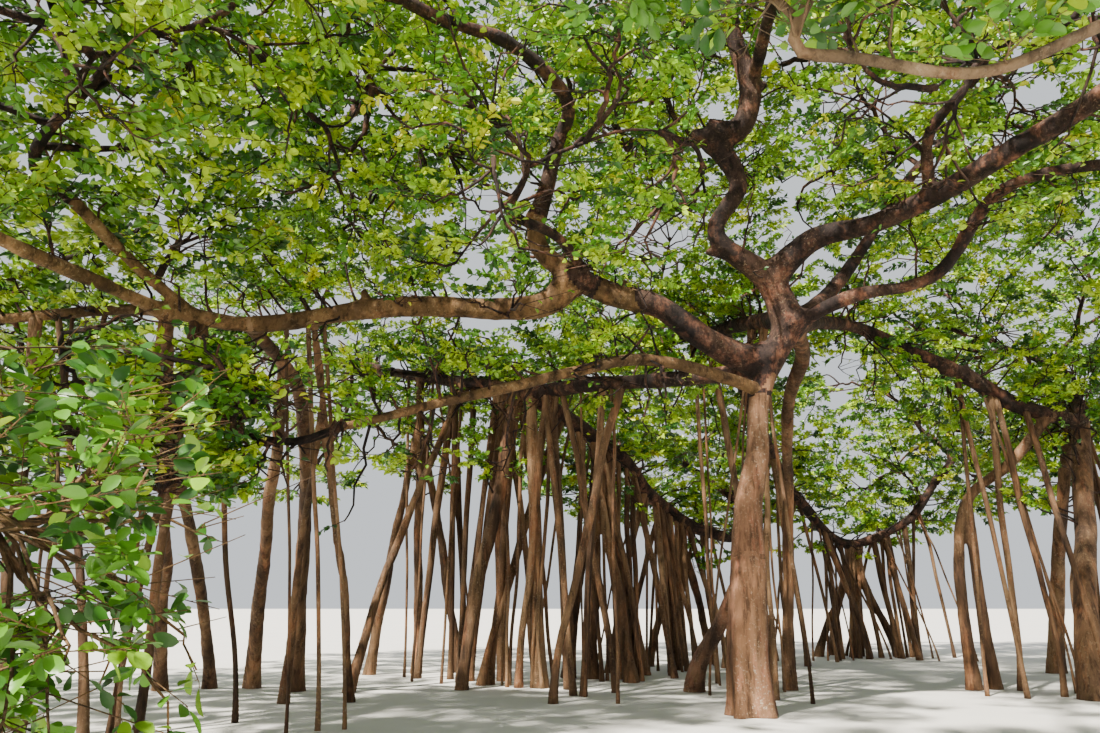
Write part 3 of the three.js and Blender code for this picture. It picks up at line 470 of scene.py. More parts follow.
def rise(foot, top):
    """A root from foot to top: almost upright, leaning in as it rises."""
    heights = np.array(PILLAR_HEIGHTS)
    lean = heights**PILLAR_BOW
    x = foot[0] + (top[0] - foot[0]) * lean
    y = foot[1] + (top[1] - foot[1]) * lean
    return np.stack([x, y, heights * top[2]], axis=1)


def rooted(points):
    """The line of a limb that stands on the ground: it starts below and is cut flat later."""
    return Line([(*points[0][:2], -BURIED), *points])


def limb_lines():
    """Every limb as (name, line, radii, kind), by the solids' rule."""
    found = [("trunk", rooted(TRUNK_BENDS), TRUNK_RADII, "trunk")]
    by_name = {"trunk": found[0][1]}
    for name, (parent, share, bends, radii) in BOUGHS.items():
        by_name[name] = Line([by_name[parent].at(share)[0], *bends])
        found.append((name, by_name[name], radii, "bough"))
    for name, (feet, bends, parent, share, radii) in PILLARS.items():
        top = by_name[parent].at(share)[0]
        main = rooted([(*feet[0], 0), *bends, top] if bends else rise(feet[0], top))
        by_name[name] = main
        found.append((name, main, radii, "pillar"))
        for i, foot in enumerate(feet[1:]):
            share = OWN_JOINTS.get(name, PILLAR_JOINT) + i * PILLAR_JOINT_STEP
            joint = main.at(share)[0]
            found.append((name, rooted(rise(foot, joint)), radii, "pillar"))
    return found, by_name


limbs, lines = limb_lines()
probe_points, probe_radii, probe_names = [], [], []
for name, line, radii, kind in limbs:
    count = math.ceil(line.length / LIMB_PROBE)
    share = np.linspace(0, 1, count + 1)
    collar = 1 + COLLAR * (np.arange(count + 1) < 3)
    probe_points.append(line.at(share))
    probe_radii.append(radius_at(radii, share) * collar)
    probe_names += [name] * (count + 1)
probe_points = np.concatenate(probe_points)
probe_radii = np.concatenate(probe_radii)
probe_names = np.array(probe_names)


# What the camera sees

def seen(points):
    """Where points fall in the photograph's frame, in pixels, and how far ahead they are."""
    offset = points - np.array(EYE)
    ahead = offset[:, 1] * math.cos(PITCH) + offset[:, 2] * math.sin(PITCH)
    up = offset[:, 2] * math.cos(PITCH) - offset[:, 1] * math.sin(PITCH)
    far = np.maximum(ahead, NEAREST)
    across = IMAGE_WIDTH / 2 + FOCAL_PIXELS * offset[:, 0] / far
    down = IMAGE_HEIGHT / 2 - FOCAL_PIXELS * up / far
    return across, down, ahead


def view_of_limbs():
    """For each cell of the frame how far ahead the limb lies that shows there."""
    depth_map = np.zeros((IMAGE_HEIGHT // VIEW_CELL + 1, IMAGE_WIDTH // VIEW_CELL))
    rows, columns = np.mgrid[:depth_map.shape[0], :depth_map.shape[1]] * VIEW_CELL
    for limb_name, line, radii, kind in limbs:
        share = np.linspace(0, CLEAR_TO.get(limb_name, 0.97), math.ceil(line.length / VIEW_STEP))
        for across, down, ahead, radius in zip(*seen(line.at(share)), radius_at(radii, share)):
            reach = FOCAL_PIXELS * radius / max(ahead, NEAREST) + VIEW_MARGIN
            off = abs(across - HALF_WIDTH), abs(down - HALF_HEIGHT)
            if ahead > 1 and off[0] < WIDER_HALVES[0] and off[1] < WIDER_HALVES[1]:
                near = (columns - across) ** 2 + (rows - down) ** 2 < reach**2
                depth_map[near] = np.maximum(depth_map[near], ahead)
    return depth_map


def in_the_way(points):
    """True where a point stands in front of a limb that the photograph shows."""
    across, down, ahead = seen(points)
    row = np.clip(down / VIEW_CELL, 0, limb_view.shape[0] - 1).astype(int)
    column = np.clip(across / VIEW_CELL, 0, limb_view.shape[1] - 1).astype(int)
    framed = (abs(across - HALF_WIDTH) < HALF_WIDTH) & (abs(down - HALF_HEIGHT) < HALF_HEIGHT)
    return framed & (ahead > IN_FRONT) & (ahead < limb_view[row, column] - BEHIND)


def in_a_gap(points):
    """True where a point would close one of the crown's larger openings."""
    across, down, ahead = seen(points)
    found = np.zeros(len(points), bool)
    for (x, y), (width, height) in SKY_GAPS:
        found |= ((across - x) / width) ** 2 + ((down - y) / height) ** 2 < 1
    return found & (ahead > IN_FRONT)


def thinned(points, rng):
    """True for the points that stay when limbs and openings are kept in view."""
    luck = rng.random(len(points))
    return ~(in_the_way(points) & (luck < VIEW_CLEARING)) & ~(in_a_gap(points) & (luck < GAP_CLEARING))


def in_near_view(name, points):
    """Keeps the nearest leaves to the parts of the frame where the photograph has them."""
    across, down, ahead = seen(points)
    found = ahead < IN_FRONT
    for left, right, top, bottom in NEAR_VIEWS[name]:
        found |= (across > left) & (across < right) & (down > top) & (down < bottom)
    return found


limb_view = view_of_limbs()


# Meshes from arrays

def linked(name, data):
    """A new object in the scene."""
    piece = bpy.data.objects.new(name, data)
    bpy.context.scene.collection.objects.link(piece)
    return piece


def read(items, attribute, width, kind=np.float32):
    """One attribute of all of a mesh's points, edges or faces."""
    values = np.empty(len(items) * width, kind)
    items.foreach_get(attribute, values)
    return values.reshape(-1, width)


def mesh_object(name, points, faces, materials, smooth=True, slots=None):
    """An object from an array of points and a list of face arrays of one size each."""
    mesh = bpy.data.meshes.new(name)
    corners = np.concatenate([f.ravel() for f in faces]).astype(np.int32)
    sizes = np.concatenate([np.full(len(f), f.shape[1]) for f in faces])
    starts = np.concatenate([[0], np.cumsum(sizes)[:-1]]).astype(np.int32)
    mesh.vertices.add(len(points))
    mesh.loops.add(len(corners))
    mesh.polygons.add(len(sizes))
    mesh.vertices.foreach_set("co", points.astype(np.float32).ravel())
    mesh.loops.foreach_set("vertex_index", corners)
    mesh.polygons.foreach_set("loop_start", starts)
    for material in materials:
        mesh.materials.append(material)
    if slots is not None:
        mesh.polygons.foreach_set("material_index", slots.astype(np.int32))
    mesh.polygons.foreach_set("use_smooth", np.full(len(sizes), smooth))
    mesh.update(calc_edges=True)
    mesh.validate()
    return linked(name, mesh)


def frames_along(rings):
    """Tangents, normals and binormals of many lines, turned as little as can be."""
    tangents = unit(np.gradient(rings, axis=1))
    upright = np.abs(tangents[:, 0, 2]) > 0.9
    start = np.where(upright[:, None], (1.0, 0, 0), (0, 0, 1.0))
    normals = np.zeros_like(rings)
    normal = np.cross(tangents[:, 0], start)
    for i in range(rings.shape[1]):
        along = (normal * tangents[:, i]).sum(1, keepdims=True)
        normal = unit(normal - along * tangents[:, i])
        normals[:, i] = normal
    return tangents, normals, np.cross(tangents, normals)


def tubes(rings, radii, sides):
    """Closed tubes along many lines. rings is (lines, rings, 3), and radii spreads over
    (lines, rings, sides). Gives the points and the faces, quads first."""
    count, steps = rings.shape[:2]
    _, normals, binormals = frames_along(rings)
    angles = np.arange(sides) * 2 * np.pi / sides
    around = np.cos(angles)[:, None] * normals[:, :, None] + np.sin(angles)[:, None] * binormals[:, :, None]
    points = rings[:, :, None] + around * np.broadcast_to(radii, (count, steps, sides))[..., None]
    number = np.arange(count * steps * sides).reshape(count, steps, sides)
    after = np.roll(number, -1, axis=2)
    quads = np.stack([number[:, :-1], after[:, :-1], after[:, 1:], number[:, 1:]], axis=-1)
    caps = np.concatenate([number[:, 0, ::-1], number[:, -1]])
    return points.reshape(-1, 3), [quads.reshape(-1, 4), caps]


def on_lines(many, share):
    """Points at shares of many lines, with each one's line and the ring before it."""
    steps = many.shape[1] - 1
    at = np.clip(share, 0, 1) * steps
    i = np.minimum(at.astype(int), steps - 1)
    w = (at - i)[..., None]
    rows = np.arange(len(many))[:, None]
    return many[rows, i] * (1 - w) + many[rows, i + 1] * w, rows, i


def joined(parts):
    """Several (points, faces) as one, with faces of a size kept together."""
    points, by_size, offset = [], {}, 0
    for part_points, part_faces in parts:
        points.append(part_points)
        for faces in part_faces:
            by_size.setdefault(faces.shape[1], []).append(faces + offset)
        offset += len(part_points)
    return np.concatenate(points), [np.concatenate(faces) for faces in by_size.values()]


# Bark

def limb_tube(index, line, radii, kind):
    """One limb as a closed tube with its collar, its foot and the flutes of its kind."""
    steps = max(6, math.ceil(line.length / RING_STEP))
    share = np.linspace(0, 1, steps + 1)
    along = share * line.length
    rings = line.at(share)
    radius = radius_at(radii, share)
    if kind == "bough":
        radius = radius * (1 + COLLAR * np.exp(-along / radii[0]))
    sides = LIMB_SIDES[kind]
    angle = np.arange(sides) * 2 * np.pi / sides
    place = np.zeros((steps + 1, sides, 3))
    place[..., 0], place[..., 1] = np.cos(angle), np.sin(angle)
    place[..., 2] = along[:, None]
    shape = np.ones((steps + 1, sides))
    for grain, stretch, depth in FLUTES[kind]:
        scaled = place * (grain, grain, stretch) + (0, 0, 17.3 * index)
        shape += depth * (noise(scaled.reshape(-1, 3), 5 + index).reshape(shape.shape) - FLUTE_CUT)
    if kind != "bough":
        fade = np.exp(-np.maximum(rings[:, 2], 0) / FLARE_HEIGHT)[:, None]
        lobes = noise((place * FOOT_LOBES).reshape(-1, 3), 90 + index).reshape(shape.shape)
        shape += (TRUNK_SPREAD if kind == "trunk" else PILLAR_SPREAD) * fade * (1 + FOOT_LOBE_DEPTH * lobes)
    if kind == "trunk":
        shape += TRUNK_RIBS * np.cos(RIB_COUNT * angle) * (RIBS_ABOVE + fade)
        shape -= TOE_DEPTH * fade * (0.5 - 0.5 * np.cos(RIB_COUNT * angle)) ** TOE_SHARPNESS
        for k, seam in enumerate(SEAMS):
            bent = seam + SEAM_BEND * noise_along(along * SEAM_GRAIN, k, 0, 21)[:, None]
            off = np.angle(np.exp(1j * (angle[None] - bent)))
            shape -= SEAM_DEPTH * np.exp(-(off / SEAM_WIDTH) ** 2)
    sway = SWAY * np.minimum(1, 4 * share * (1 - share))[:, None] * radius[:, None]
    offset = [noise_along(along * SWAY_GRAIN, 0, 31 * k + index, 7) for k in range(3)]
    rings = rings + sway * np.stack(offset, 1)
    return tubes(rings[None], (radius[:, None] * shape)[None], sides)


def stub_tube(limb_name, share, direction, radius, length):
    """A broken-off stub or knob on a limb, rounded at its end."""
    root = lines[limb_name].at(share)[0]
    way = unit(np.array(direction, float))
    along = np.linspace(0, 1, len(STUB_PROFILE))
    rings = root + along[:, None] * way * length
    width = radius * np.array(STUB_PROFILE)
    return tubes(rings[None], width[:, None], STUB_SIDES)


def neighbour_mean(edges, values):
    """The mean of each point's neighbours."""
    size = len(values)
    degree = np.bincount(edges.ravel(), minlength=size)
    columns = []
    for k in range(values.shape[1]):
        total = np.bincount(edges[:, 0], values[edges[:, 1], k], size)
        columns.append(total + np.bincount(edges[:, 1], values[edges[:, 0], k], size))
    return np.stack(columns, 1) / np.maximum(degree, 1)[:, None]


def moved(mesh, points):
    """The mesh's normals once its points are moved."""
    mesh.vertices.foreach_set("co", points.astype(np.float32).ravel())
    mesh.update()
    return read(mesh.vertex_normals, "vector", 3).astype(float)


def fused_limbs():
    """The limbs as one mesh: fused in voxels, filleted where they join, then given relief."""
    parts = [limb_tube(i, line, radii, kind) for i, (name, line, radii, kind) in enumerate(limbs)
             if name not in SLENDER]
    parts += [stub_tube(*stub) for stub in STUBS]
    rough = mesh_object("rough_limbs", *joined(parts), [])
    remesh = rough.modifiers.new("fuse", "REMESH")
    remesh.mode, remesh.voxel_size, remesh.adaptivity = "VOXEL", VOXEL, 0
    evaluated = rough.evaluated_get(bpy.context.evaluated_depsgraph_get())
    mesh = bpy.data.meshes.new_from_object(evaluated)
    bpy.data.objects.remove(rough)
    points = read(mesh.vertices, "co", 3).astype(float)
    edges = read(mesh.edges, "vertices", 2, np.int32)
    near_join = np.zeros(len(points))
    for name, line, radii, kind in limbs[1:]:
        joint = line.at(1 if kind == "pillar" else 0)[0]
        reach = FILLET_REACH * (radii[-1] if kind == "pillar" else radii[0]) + FILLET_RIM
        gap = np.linalg.norm(points - joint, axis=1)
        near_join = np.maximum(near_join, np.clip(FILLET_END - gap / reach, 0, 1))
    for _ in range(FILLET_ROUNDS):
        normals = moved(mesh, points)
        pull = neighbour_mean(edges, points) - points
        hollow = np.maximum((pull * normals).sum(1), 0) * near_join
        points += normals * hollow[:, None] + pull * SMOOTHING
    normals = moved(mesh, points)
    for size, depth, seed in RELIEF:
        points += normals * (depth * noise(points * (1, 1, RELIEF_STRETCH) / size, seed))[:, None]
    moved(mesh, points)
    return mesh


def nearest_limbs(points):
    """The name of the limb nearest to each point."""
    tree = KDTree(len(probe_points))
    for i, point in enumerate(probe_points):
        tree.insert(point, i)
    tree.balance()
    return probe_names[[tree.find(point)[1] for point in points]]


def cut_at_ground(mesh):
    """Cuts the mesh flat at the ground and closes the cuts."""
    work = bmesh.new()
    work.from_mesh(mesh)
    everything = work.verts[:] + work.edges[:] + work.faces[:]
    bmesh.ops.bisect_plane(work, geom=everything, plane_co=(0, 0, 0), plane_no=(0, 0, 1), clear_inner=True)
    rim = [edge for edge in work.edges if edge.is_boundary and abs(edge.verts[0].co.z) < 1e-5]
    bmesh.ops.holes_fill(work, edges=rim, sides=0)
    work.to_mesh(mesh)
    work.free()
    mesh.update()


def part_of(mesh, name, keep, material):
    """A piece of the faces of a mesh that are marked."""
    work = bmesh.new()
    work.from_mesh(mesh)
    work.faces.ensure_lookup_table()
    spare = [face for face in work.faces if not keep[face.index]]
    bmesh.ops.delete(work, geom=spare, context="FACES")
    part = bpy.data.meshes.new(name)
    work.to_mesh(part)
    work.free()
    part.materials.clear()
    part.materials.append(material)
    part.polygons.foreach_set("use_smooth", np.full(len(part.polygons), True))
    return linked(name, part)


def slender_roots(material):
    """Thin young roots from the boughs behind down to the ground, by a seeded rule."""
    rng = np.random.default_rng(ROOT_SEED)
    parts = []
    low, high = SLENDER_ROOT_RADIUS
    share = np.linspace(0, 1, SLENDER_ROOT_RINGS)
    for bough, count, first, last, drift in SLENDER_ROOTS:
        tops = lines[bough].at(np.sort(rng.uniform(first, last, count)))
        feet = tops[:, :2] + rng.normal(0, drift, (count, 2))
        widths = low + (high - low) * rng.random(count) ** SLENDER_ROOT_BIAS
        for top, foot, width in zip(tops, feet, widths):
            line = rooted(rise(foot, top))
            rings = line.at(share)
            along = share * line.length * SLENDER_ROOT_GRAIN
            wave = [noise_along(along, foot[0], 9 * k, 3) for k in range(3)]
            fade = np.minimum(1, 4 * (1 - share))
            rings = rings + (SLENDER_ROOT_WAVE * fade)[:, None] * np.stack(wave, 1)
            flare = SLENDER_FLARE * np.exp(-np.maximum(rings[:, 2], 0) / SLENDER_FLARE_HEIGHT)
            width = width * (1 + flare + SLENDER_WIDENING * share)
            parts.append(tubes(rings[None], width[:, None], SLENDER_ROOT_SIDES))
    piece = mesh_object("slender_roots", *joined(parts), [material])
    cut_at_ground(piece.data)
    return piece


# Foliage

NAMES = list(MASSES)
MIDDLES = np.array([MASSES[name][1] for name in NAMES], float)
HALVES = np.array([MASSES[name][2] for name in NAMES], float)
BOX_LOW, BOX_HIGH = np.array(cad_box[0]) + BOX_MARGIN, np.array(cad_box[1]) - BOX_MARGIN


def belongs(index, points):
    """True where a point is in a mass's ellipsoid and not nearer to a neighbour's."""
    depth = np.linalg.norm((points[:, None] - MIDDLES) / HALVES, axis=2)
    own = depth[:, index].copy()
    depth[:, index] = np.inf
    return (own < 1) & (depth.min(1) > own + SPACE_MARGIN) & (points[:, 2] > BLADE_THICKNESS)


def in_box(points):
    """True where a point keeps to the CAD model's own box."""
    return ((points > BOX_LOW) & (points < BOX_HIGH)).all(1)


def touches_limb(points, radius, spared):
    others = probe_names != spared
    gap = np.linalg.norm(points[:, None] - probe_points[None, others], axis=2)
    return (gap < probe_radii[others] + radius).any(1)


def place(index, random):
    """A place for a twig's end: seeded tries in the outer part of the space."""
    while True:
        share = np.array([2 * next(random) - 1 for _ in range(3)])
        depth = np.linalg.norm(share)
        point = share * HALVES[index] + MIDDLES[index]
        if SHELL < depth < REACH and belongs(index, point[None])[0]:
            return point


def twig_ends(index, count):
    """The ends of the solids' twigs: each of several tries that lies furthest from the rest."""
    random = seeded(FIRST_SEED + SEED_STEP * index)
    ends = []
    for _ in range(count):
        best, widest = None, -1
        for _ in range(CANDIDATES):
            point = place(index, random)
            gap = min((np.linalg.norm(end - point) for end in ends), default=math.inf)
            if gap > widest:
                best, widest = point, gap
        ends.append(best)
    return ends


def stem_and_twigs(index):
    """The stem that carries the bough on, and the twigs that leave it, as in the solids."""
    bough, _, _, count, small = MASSES[NAMES[index]][:5]
    tip, middle = lines[bough].at(1)[0], MIDDLES[index]
    way = middle - tip
    lead = tip + lines[bough].tangent(1)[0] * np.linalg.norm(way) / 3
    stem = Line([tip, lead, middle, middle + way * STEM_REACH])
    run = stem.at(1)[0] - tip
    ends = sorted(twig_ends(index, count), key=lambda end: float((end - tip) @ run))
    twigs = []
    for i, end in enumerate(ends):
        share = FIRST_FORK + (LAST_FORK - FIRST_FORK) * i / (count - 1)
        root = stem.at(share)[0]
        reach = np.linalg.norm(end - root)
        bend = (root + end) / 2 + stem.tangent(share)[0] * TWIG_LEAD * reach / 2
        twig = Line([root, bend, end])
        steps = math.ceil(twig.length / LIMB_PROBE)
        tested = twig.at(np.linspace(0, 1, steps + 1))[2:]
        if belongs(index, tested).all() and not touches_limb(tested, TWIG_WIDTH + LIMB_MARGIN, bough).any():
            twigs.append(twig)
    radii = [BOUGHS[bough][3][-1], STEM_END_RADIUS * small]
    return stem, radii, twigs, small


def spread_ends(index, count, rng):
    """Ends for the branchlets: the furthest of several tries each, in the whole space."""
    pool = rng.uniform(-1, 1, (count * BRANCHLET_TRIES, 3))
    depth = np.linalg.norm(pool, axis=1)
    pool = pool[(depth > BRANCHLET_SHELL) & (depth < BRANCHLET_REACH)] * HALVES[index] + MIDDLES[index]
    pool = pool[belongs(index, pool) & in_box(pool)]
    ends = []
    for i in range(min(count, len(pool) // CANDIDATES)):
        tries = pool[i * CANDIDATES:(i + 1) * CANDIDATES]
        if not ends:
            ends.append(tries[0])
            continue
        gaps = np.linalg.norm(tries[:, None] - np.array(ends)[None], axis=2).min(1)
        ends.append(tries[gaps.argmax()])
    return np.array(ends)


def bent_lines(roots, ways, ends, steps, rng, wander):
    """Lines that leave their parents along ways and bend round to ends, wandering a little."""
    reach = np.linalg.norm(ends - roots, axis=1, keepdims=True)
    middle = (roots + ends) / 2 + ways * TWIG_LEAD * reach / 2
    handle = 2 * middle - (roots + ends) / 2
    t = np.linspace(0, 1, steps + 1)[None, :, None]
    rings = (1 - t) ** 2 * roots[:, None] + 2 * t * (1 - t) * handle[:, None] + t**2 * ends[:, None]
    shift = rng.normal(0, wander, (len(roots), steps + 1, 3)) * reach[:, None]
    return rings + shift * (4 * t * (1 - t)) ** 0.5


def branchlets(index, skeleton, ways, count, steps, rng):
    """Finer twigs from the skeleton's points to ends of their own. Each leaves the parent
    that takes the least bending."""
    skeleton, ways = np.concatenate(skeleton), np.concatenate(ways)
    ends = spread_ends(index, count, rng)
    if NAMES[index] in NEAR_VIEWS:
        ends = ends[in_near_view(NAMES[index], ends)]
    ends = ends[~(in_a_gap(ends) & (rng.random(len(ends)) < GAP_CLEARING))]
    to_end = ends[:, None] - skeleton[None]
    gap = np.linalg.norm(to_end, axis=2)
    turn = (to_end * ways[None]).sum(2) / np.maximum(gap, 1e-6)
    cost = gap * (1.3 - 0.4 * turn) + 10 * (gap < TOO_NEAR)
    nearest = cost.argmin(1)
    return bent_lines(skeleton[nearest], ways[nearest], ends, steps, rng, BRANCHLET_WANDER / steps)


def wavy(rings, size, wave_seed):
    """Lines with a smooth sway to and fro that leaves their ends where they are."""
    steps = rings.shape[1] - 1
    t = np.linspace(0, 1, steps + 1)
    envelope = np.minimum(1, 5 * t * (1 - t))[None, :, None]
    places = rings.reshape(-1, 3) * WAVE_GRAIN
    wave = np.stack([noise(places + 7.7 * k, wave_seed + k) for k in range(3)], 1)
    return np.clip(rings + size * envelope * wave.reshape(rings.shape), BOX_LOW, BOX_HIGH)


def bough_sprays(name, rng):
    """Leafy branchlets straight from a bough's own bark, up and outward."""
    found = [np.zeros((0, BRANCHLET_STEPS + 1, 3))]
    for bough, count, first, last in BOUGH_SPRAYS.get(name, []):
        share = rng.uniform(first, last, count)
        roots, ways = lines[bough].at(share), lines[bough].tangent(share)
        aside = np.cross(ways, rng.normal(0, 1, (count, 3)))
        out = unit(aside + SPRAY_ALONG * ways + (0, 0, SPRAY_UP))
        ends = roots + out * rng.uniform(*SPRAY_REACH, (count, 1))
        ends[:, 2] = np.maximum(ends[:, 2], SPRAY_LOWEST)
        inside = in_box(ends)
        kept = roots[inside], out[inside], ends[inside]
        found.append(bent_lines(*kept, BRANCHLET_STEPS, rng, SPRAY_WANDER))
    return np.concatenate(found)


def shoots(index, parents, free, rng, scale):
    """Leafy shoots from the outer part of every branchlet, fanned out flat. Those of the free
    parents may leave the mass's own space. Gives the shoots, which of them are free, and
    which parents bear any."""
    count = len(parents)
    jitter = rng.uniform(-SHOOT_JITTER, SHOOT_JITTER, (count, SHOOTS))
    share = np.linspace(FIRST_SHOOT, 1, SHOOTS)[None] + jitter
    roots, rows, i = on_lines(parents, share)
    roots = roots.reshape(-1, 3)
    ways = unit(parents[rows, i + 1] - parents[rows, i]).reshape(-1, 3)
    turn = rng.choice([-1, 1], len(roots)) * rng.uniform(*SHOOT_TURN, len(roots))
    turn[SHOOTS - 1::SHOOTS] *= END_SHOOT_TURN
    heading = np.arctan2(ways[:, 1], ways[:, 0]) + turn
    rise_by = rng.uniform(*SHOOT_RISE, len(roots)) + SHOOT_CLIMB * ways[:, 2]
    outward = unit(np.stack([np.cos(heading), np.sin(heading), rise_by], 1))
    loose = np.repeat(free, SHOOTS)
    length = rng.uniform(*SHOOT_LENGTH, (len(roots), 1)) * np.where(loose, FREE_SHOOTS, 1)[:, None] * scale
    ends = roots + outward * length
    middles = (roots + ends) / 2
    keep = (loose | belongs(index, ends)) & in_box(ends) & ~touches_limb(middles, SHOOT_CLEARANCE, "")
    keep &= thinned(ends, rng)
    leafy = keep.reshape(count, SHOOTS).any(1)
    made = bent_lines(roots[keep], ways[keep], ends[keep], SHOOT_STEPS, rng, SHOOT_WANDER)
    return made, loose[keep], leafy


def near_leaf():
    """The nearest leaf: two halves folded up from a midrib that droops."""
    rib = [(x, 0, -NEAR_DROOP * x * x) for x, _ in NEAR_STATIONS]
    inner = NEAR_STATIONS[1:-1]
    sides = [(x, side * w, NEAR_FOLD * w - NEAR_DROOP * x * x) for side in (1, -1) for x, w in inner]
    points = np.array(rib + sides, float)
    last, n = len(rib) - 1, len(inner)
    one = [last + 1 + k for k in range(n)]
    two = [last + 1 + n + k for k in range(n)]
    triangles = [(0, 1, one[0]), (0, two[0], 1), (last, one[-1], last - 1), (last, last - 1, two[-1])]
    quads = []
    for k in range(n - 1):
        quads.append((k + 1, k + 2, one[k + 1], one[k]))
        quads.append((k + 1, two[k], two[k + 1], k + 2))
    return points, np.array(quads).reshape(-1, 4), np.array(triangles)


def leaves(shape, origins, directions, faces_up, lengths, widths):
    """Many leaves of one shape as one array of points and faces."""
    points, quads, triangles = shape
    up = unit(faces_up - (faces_up * directions).sum(1, keepdims=True) * directions)
    side = np.cross(up, directions)
    x, y, z = points[:, 0], points[:, 1], points[:, 2]
    made = (origins[:, None] + directions[:, None] * (x[None] * lengths[:, None])[..., None]
            + side[:, None] * (y[None] * widths[:, None])[..., None]
            + up[:, None] * (z[None] * lengths[:, None])[..., None])
    offset = (np.arange(len(origins)) * len(points))[:, None, None]
    faces = [(part[None] + offset).reshape(-1, part.shape[1]) for part in (quads, triangles) if len(part)]
    return made.reshape(-1, 3), faces


def leaf_places(index, twigs_made, loose, rng, length, per_shoot, stalk):
    """Where the leaves of the shoots sit and how they are turned: alternate along the
    shoot, opened out to the side, and held more or less level."""
    tangents, normals, binormals = frames_along(twigs_made)
    count = len(twigs_made)
    near = NAMES[index] in NEAR_VIEWS
    first = NEAR_FIRST_LEAF if near else FIRST_LEAF
    jitter = rng.uniform(-LEAF_JITTER, LEAF_JITTER, (count, per_shoot))
    share = np.linspace(first, 1, per_shoot)[None] + jitter
    on_twig, rows, i = on_lines(twigs_made, share)
    angle = rng.uniform(0, 2 * np.pi, (count, 1)) + np.arange(per_shoot) * LEAF_TURN
    radial = np.cos(angle)[..., None] * normals[rows, i] + np.sin(angle)[..., None] * binormals[rows, i]
    open_out = np.linspace(*LEAF_OPENING, per_shoot)[None, :, None]
    direction = tangents[rows, i] * LEAF_FORWARD + radial * open_out * (1, 1, LEAF_STEEPNESS)
    direction = direction + rng.normal(0, LEAF_UNEVENNESS, radial.shape)
    direction = unit(direction - (0, 0, LEAF_SAG))
    faces_up = rng.normal(0, LEAF_TILT, radial.shape) + radial * LEAF_FACING + (0, 0, 1)
    size = length * rng.uniform(*LEAF_SIZES, (count, per_shoot)) * np.where(loose, BOUGH_LEAF, 1)[:, None]
    origin = on_twig + direction * (stalk * size)[..., None]
    spray = np.repeat(np.arange(count), per_shoot)
    found = (origin, direction, faces_up, size)
    origin, direction, faces_up, size = (a.reshape(-1, *a.shape[2:]) for a in found)
    tips = origin + direction * size[:, None]
    keep = (loose[spray] | belongs(index, tips)) & in_box(tips) & in_box(origin)
    keep &= (rng.random(len(tips)) > LEAF_LOSS) & thinned(tips, rng)
    if near:
        keep &= in_near_view(NAMES[index], tips)
    return origin[keep], direction[keep], faces_up[keep], size[keep], spray[keep]


def wood_of(index, rng):
    """The stem, the twigs and the side boughs of one mass as tubes, then the lines of its
    branchlets and which of these spring from a bough outside the mass."""
    name = NAMES[index]
    near = name in NEAR_VIEWS
    stem, stem_radii, twigs, small = stem_and_twigs(index)
    skeleton, ways, parts = [], [], []
    twig_radii = [TWIG_BASE * small, TWIG_TIP * small]
    ring_step, wave = (NEAR_TWIG_RING_STEP, NEAR_TWIG_WAVE) if near else (TWIG_RING_STEP, TWIG_WAVE)
    for line, radii, first in [(stem, stem_radii, 0.2)] + [(twig, twig_radii, 0.1) for twig in twigs]:
        steps = max(8, round(line.length / ring_step))
        share = np.linspace(0, 1, steps + 1)
        rings = wavy(line.at(share)[None], wave * line.length, 11 + index)
        width = radius_at(radii, share)
        parts.append(tubes(rings, width[:, None], TWIG_SIDES))
        fine = np.arange(first, 1, PARENT_STEP / line.length)
        skeleton.append(np.stack([np.interp(fine, share, rings[0, :, k]) for k in range(3)], 1))
        ways.append(line.tangent(fine))
    for limb_name, line, radii, kind in limbs:
        if kind != "bough":
            continue
        fine = np.arange(0.12, 1, BOUGH_STEP / line.length)
        points = line.at(fine)
        inside = belongs(index, points)
        skeleton.append(points[inside])
        ways.append(line.tangent(fine)[inside])
    if not near:
        rings = branchlets(index, skeleton, ways, SIDE_BOUGHS, SIDE_BOUGH_STEPS, rng)
        rings = wavy(rings, SIDE_BOUGH_WAVE * 2 * min(1, small), 60 + index)
        width = np.linspace(SIDE_BOUGH_BASE, SIDE_BOUGH_TIP, SIDE_BOUGH_STEPS + 1)
        parts.append(tubes(rings, width[:, None] * min(1, small + 0.2), SIDE_BOUGH_SIDES))
        skeleton.append(rings[:, 3:].reshape(-1, 3))
        ways.append(unit(rings[:, 3:] - rings[:, 2:-1]).reshape(-1, 3))
    finer = branchlets(index, skeleton, ways, MASSES[name][5], BRANCHLET_STEPS, rng)
    sprays = bough_sprays(name, rng)
    free = np.arange(len(finer) + len(sprays)) >= len(finer)
    return parts, wavy(np.concatenate([finer, sprays]), BRANCHLET_WAVE, 90 + index), free


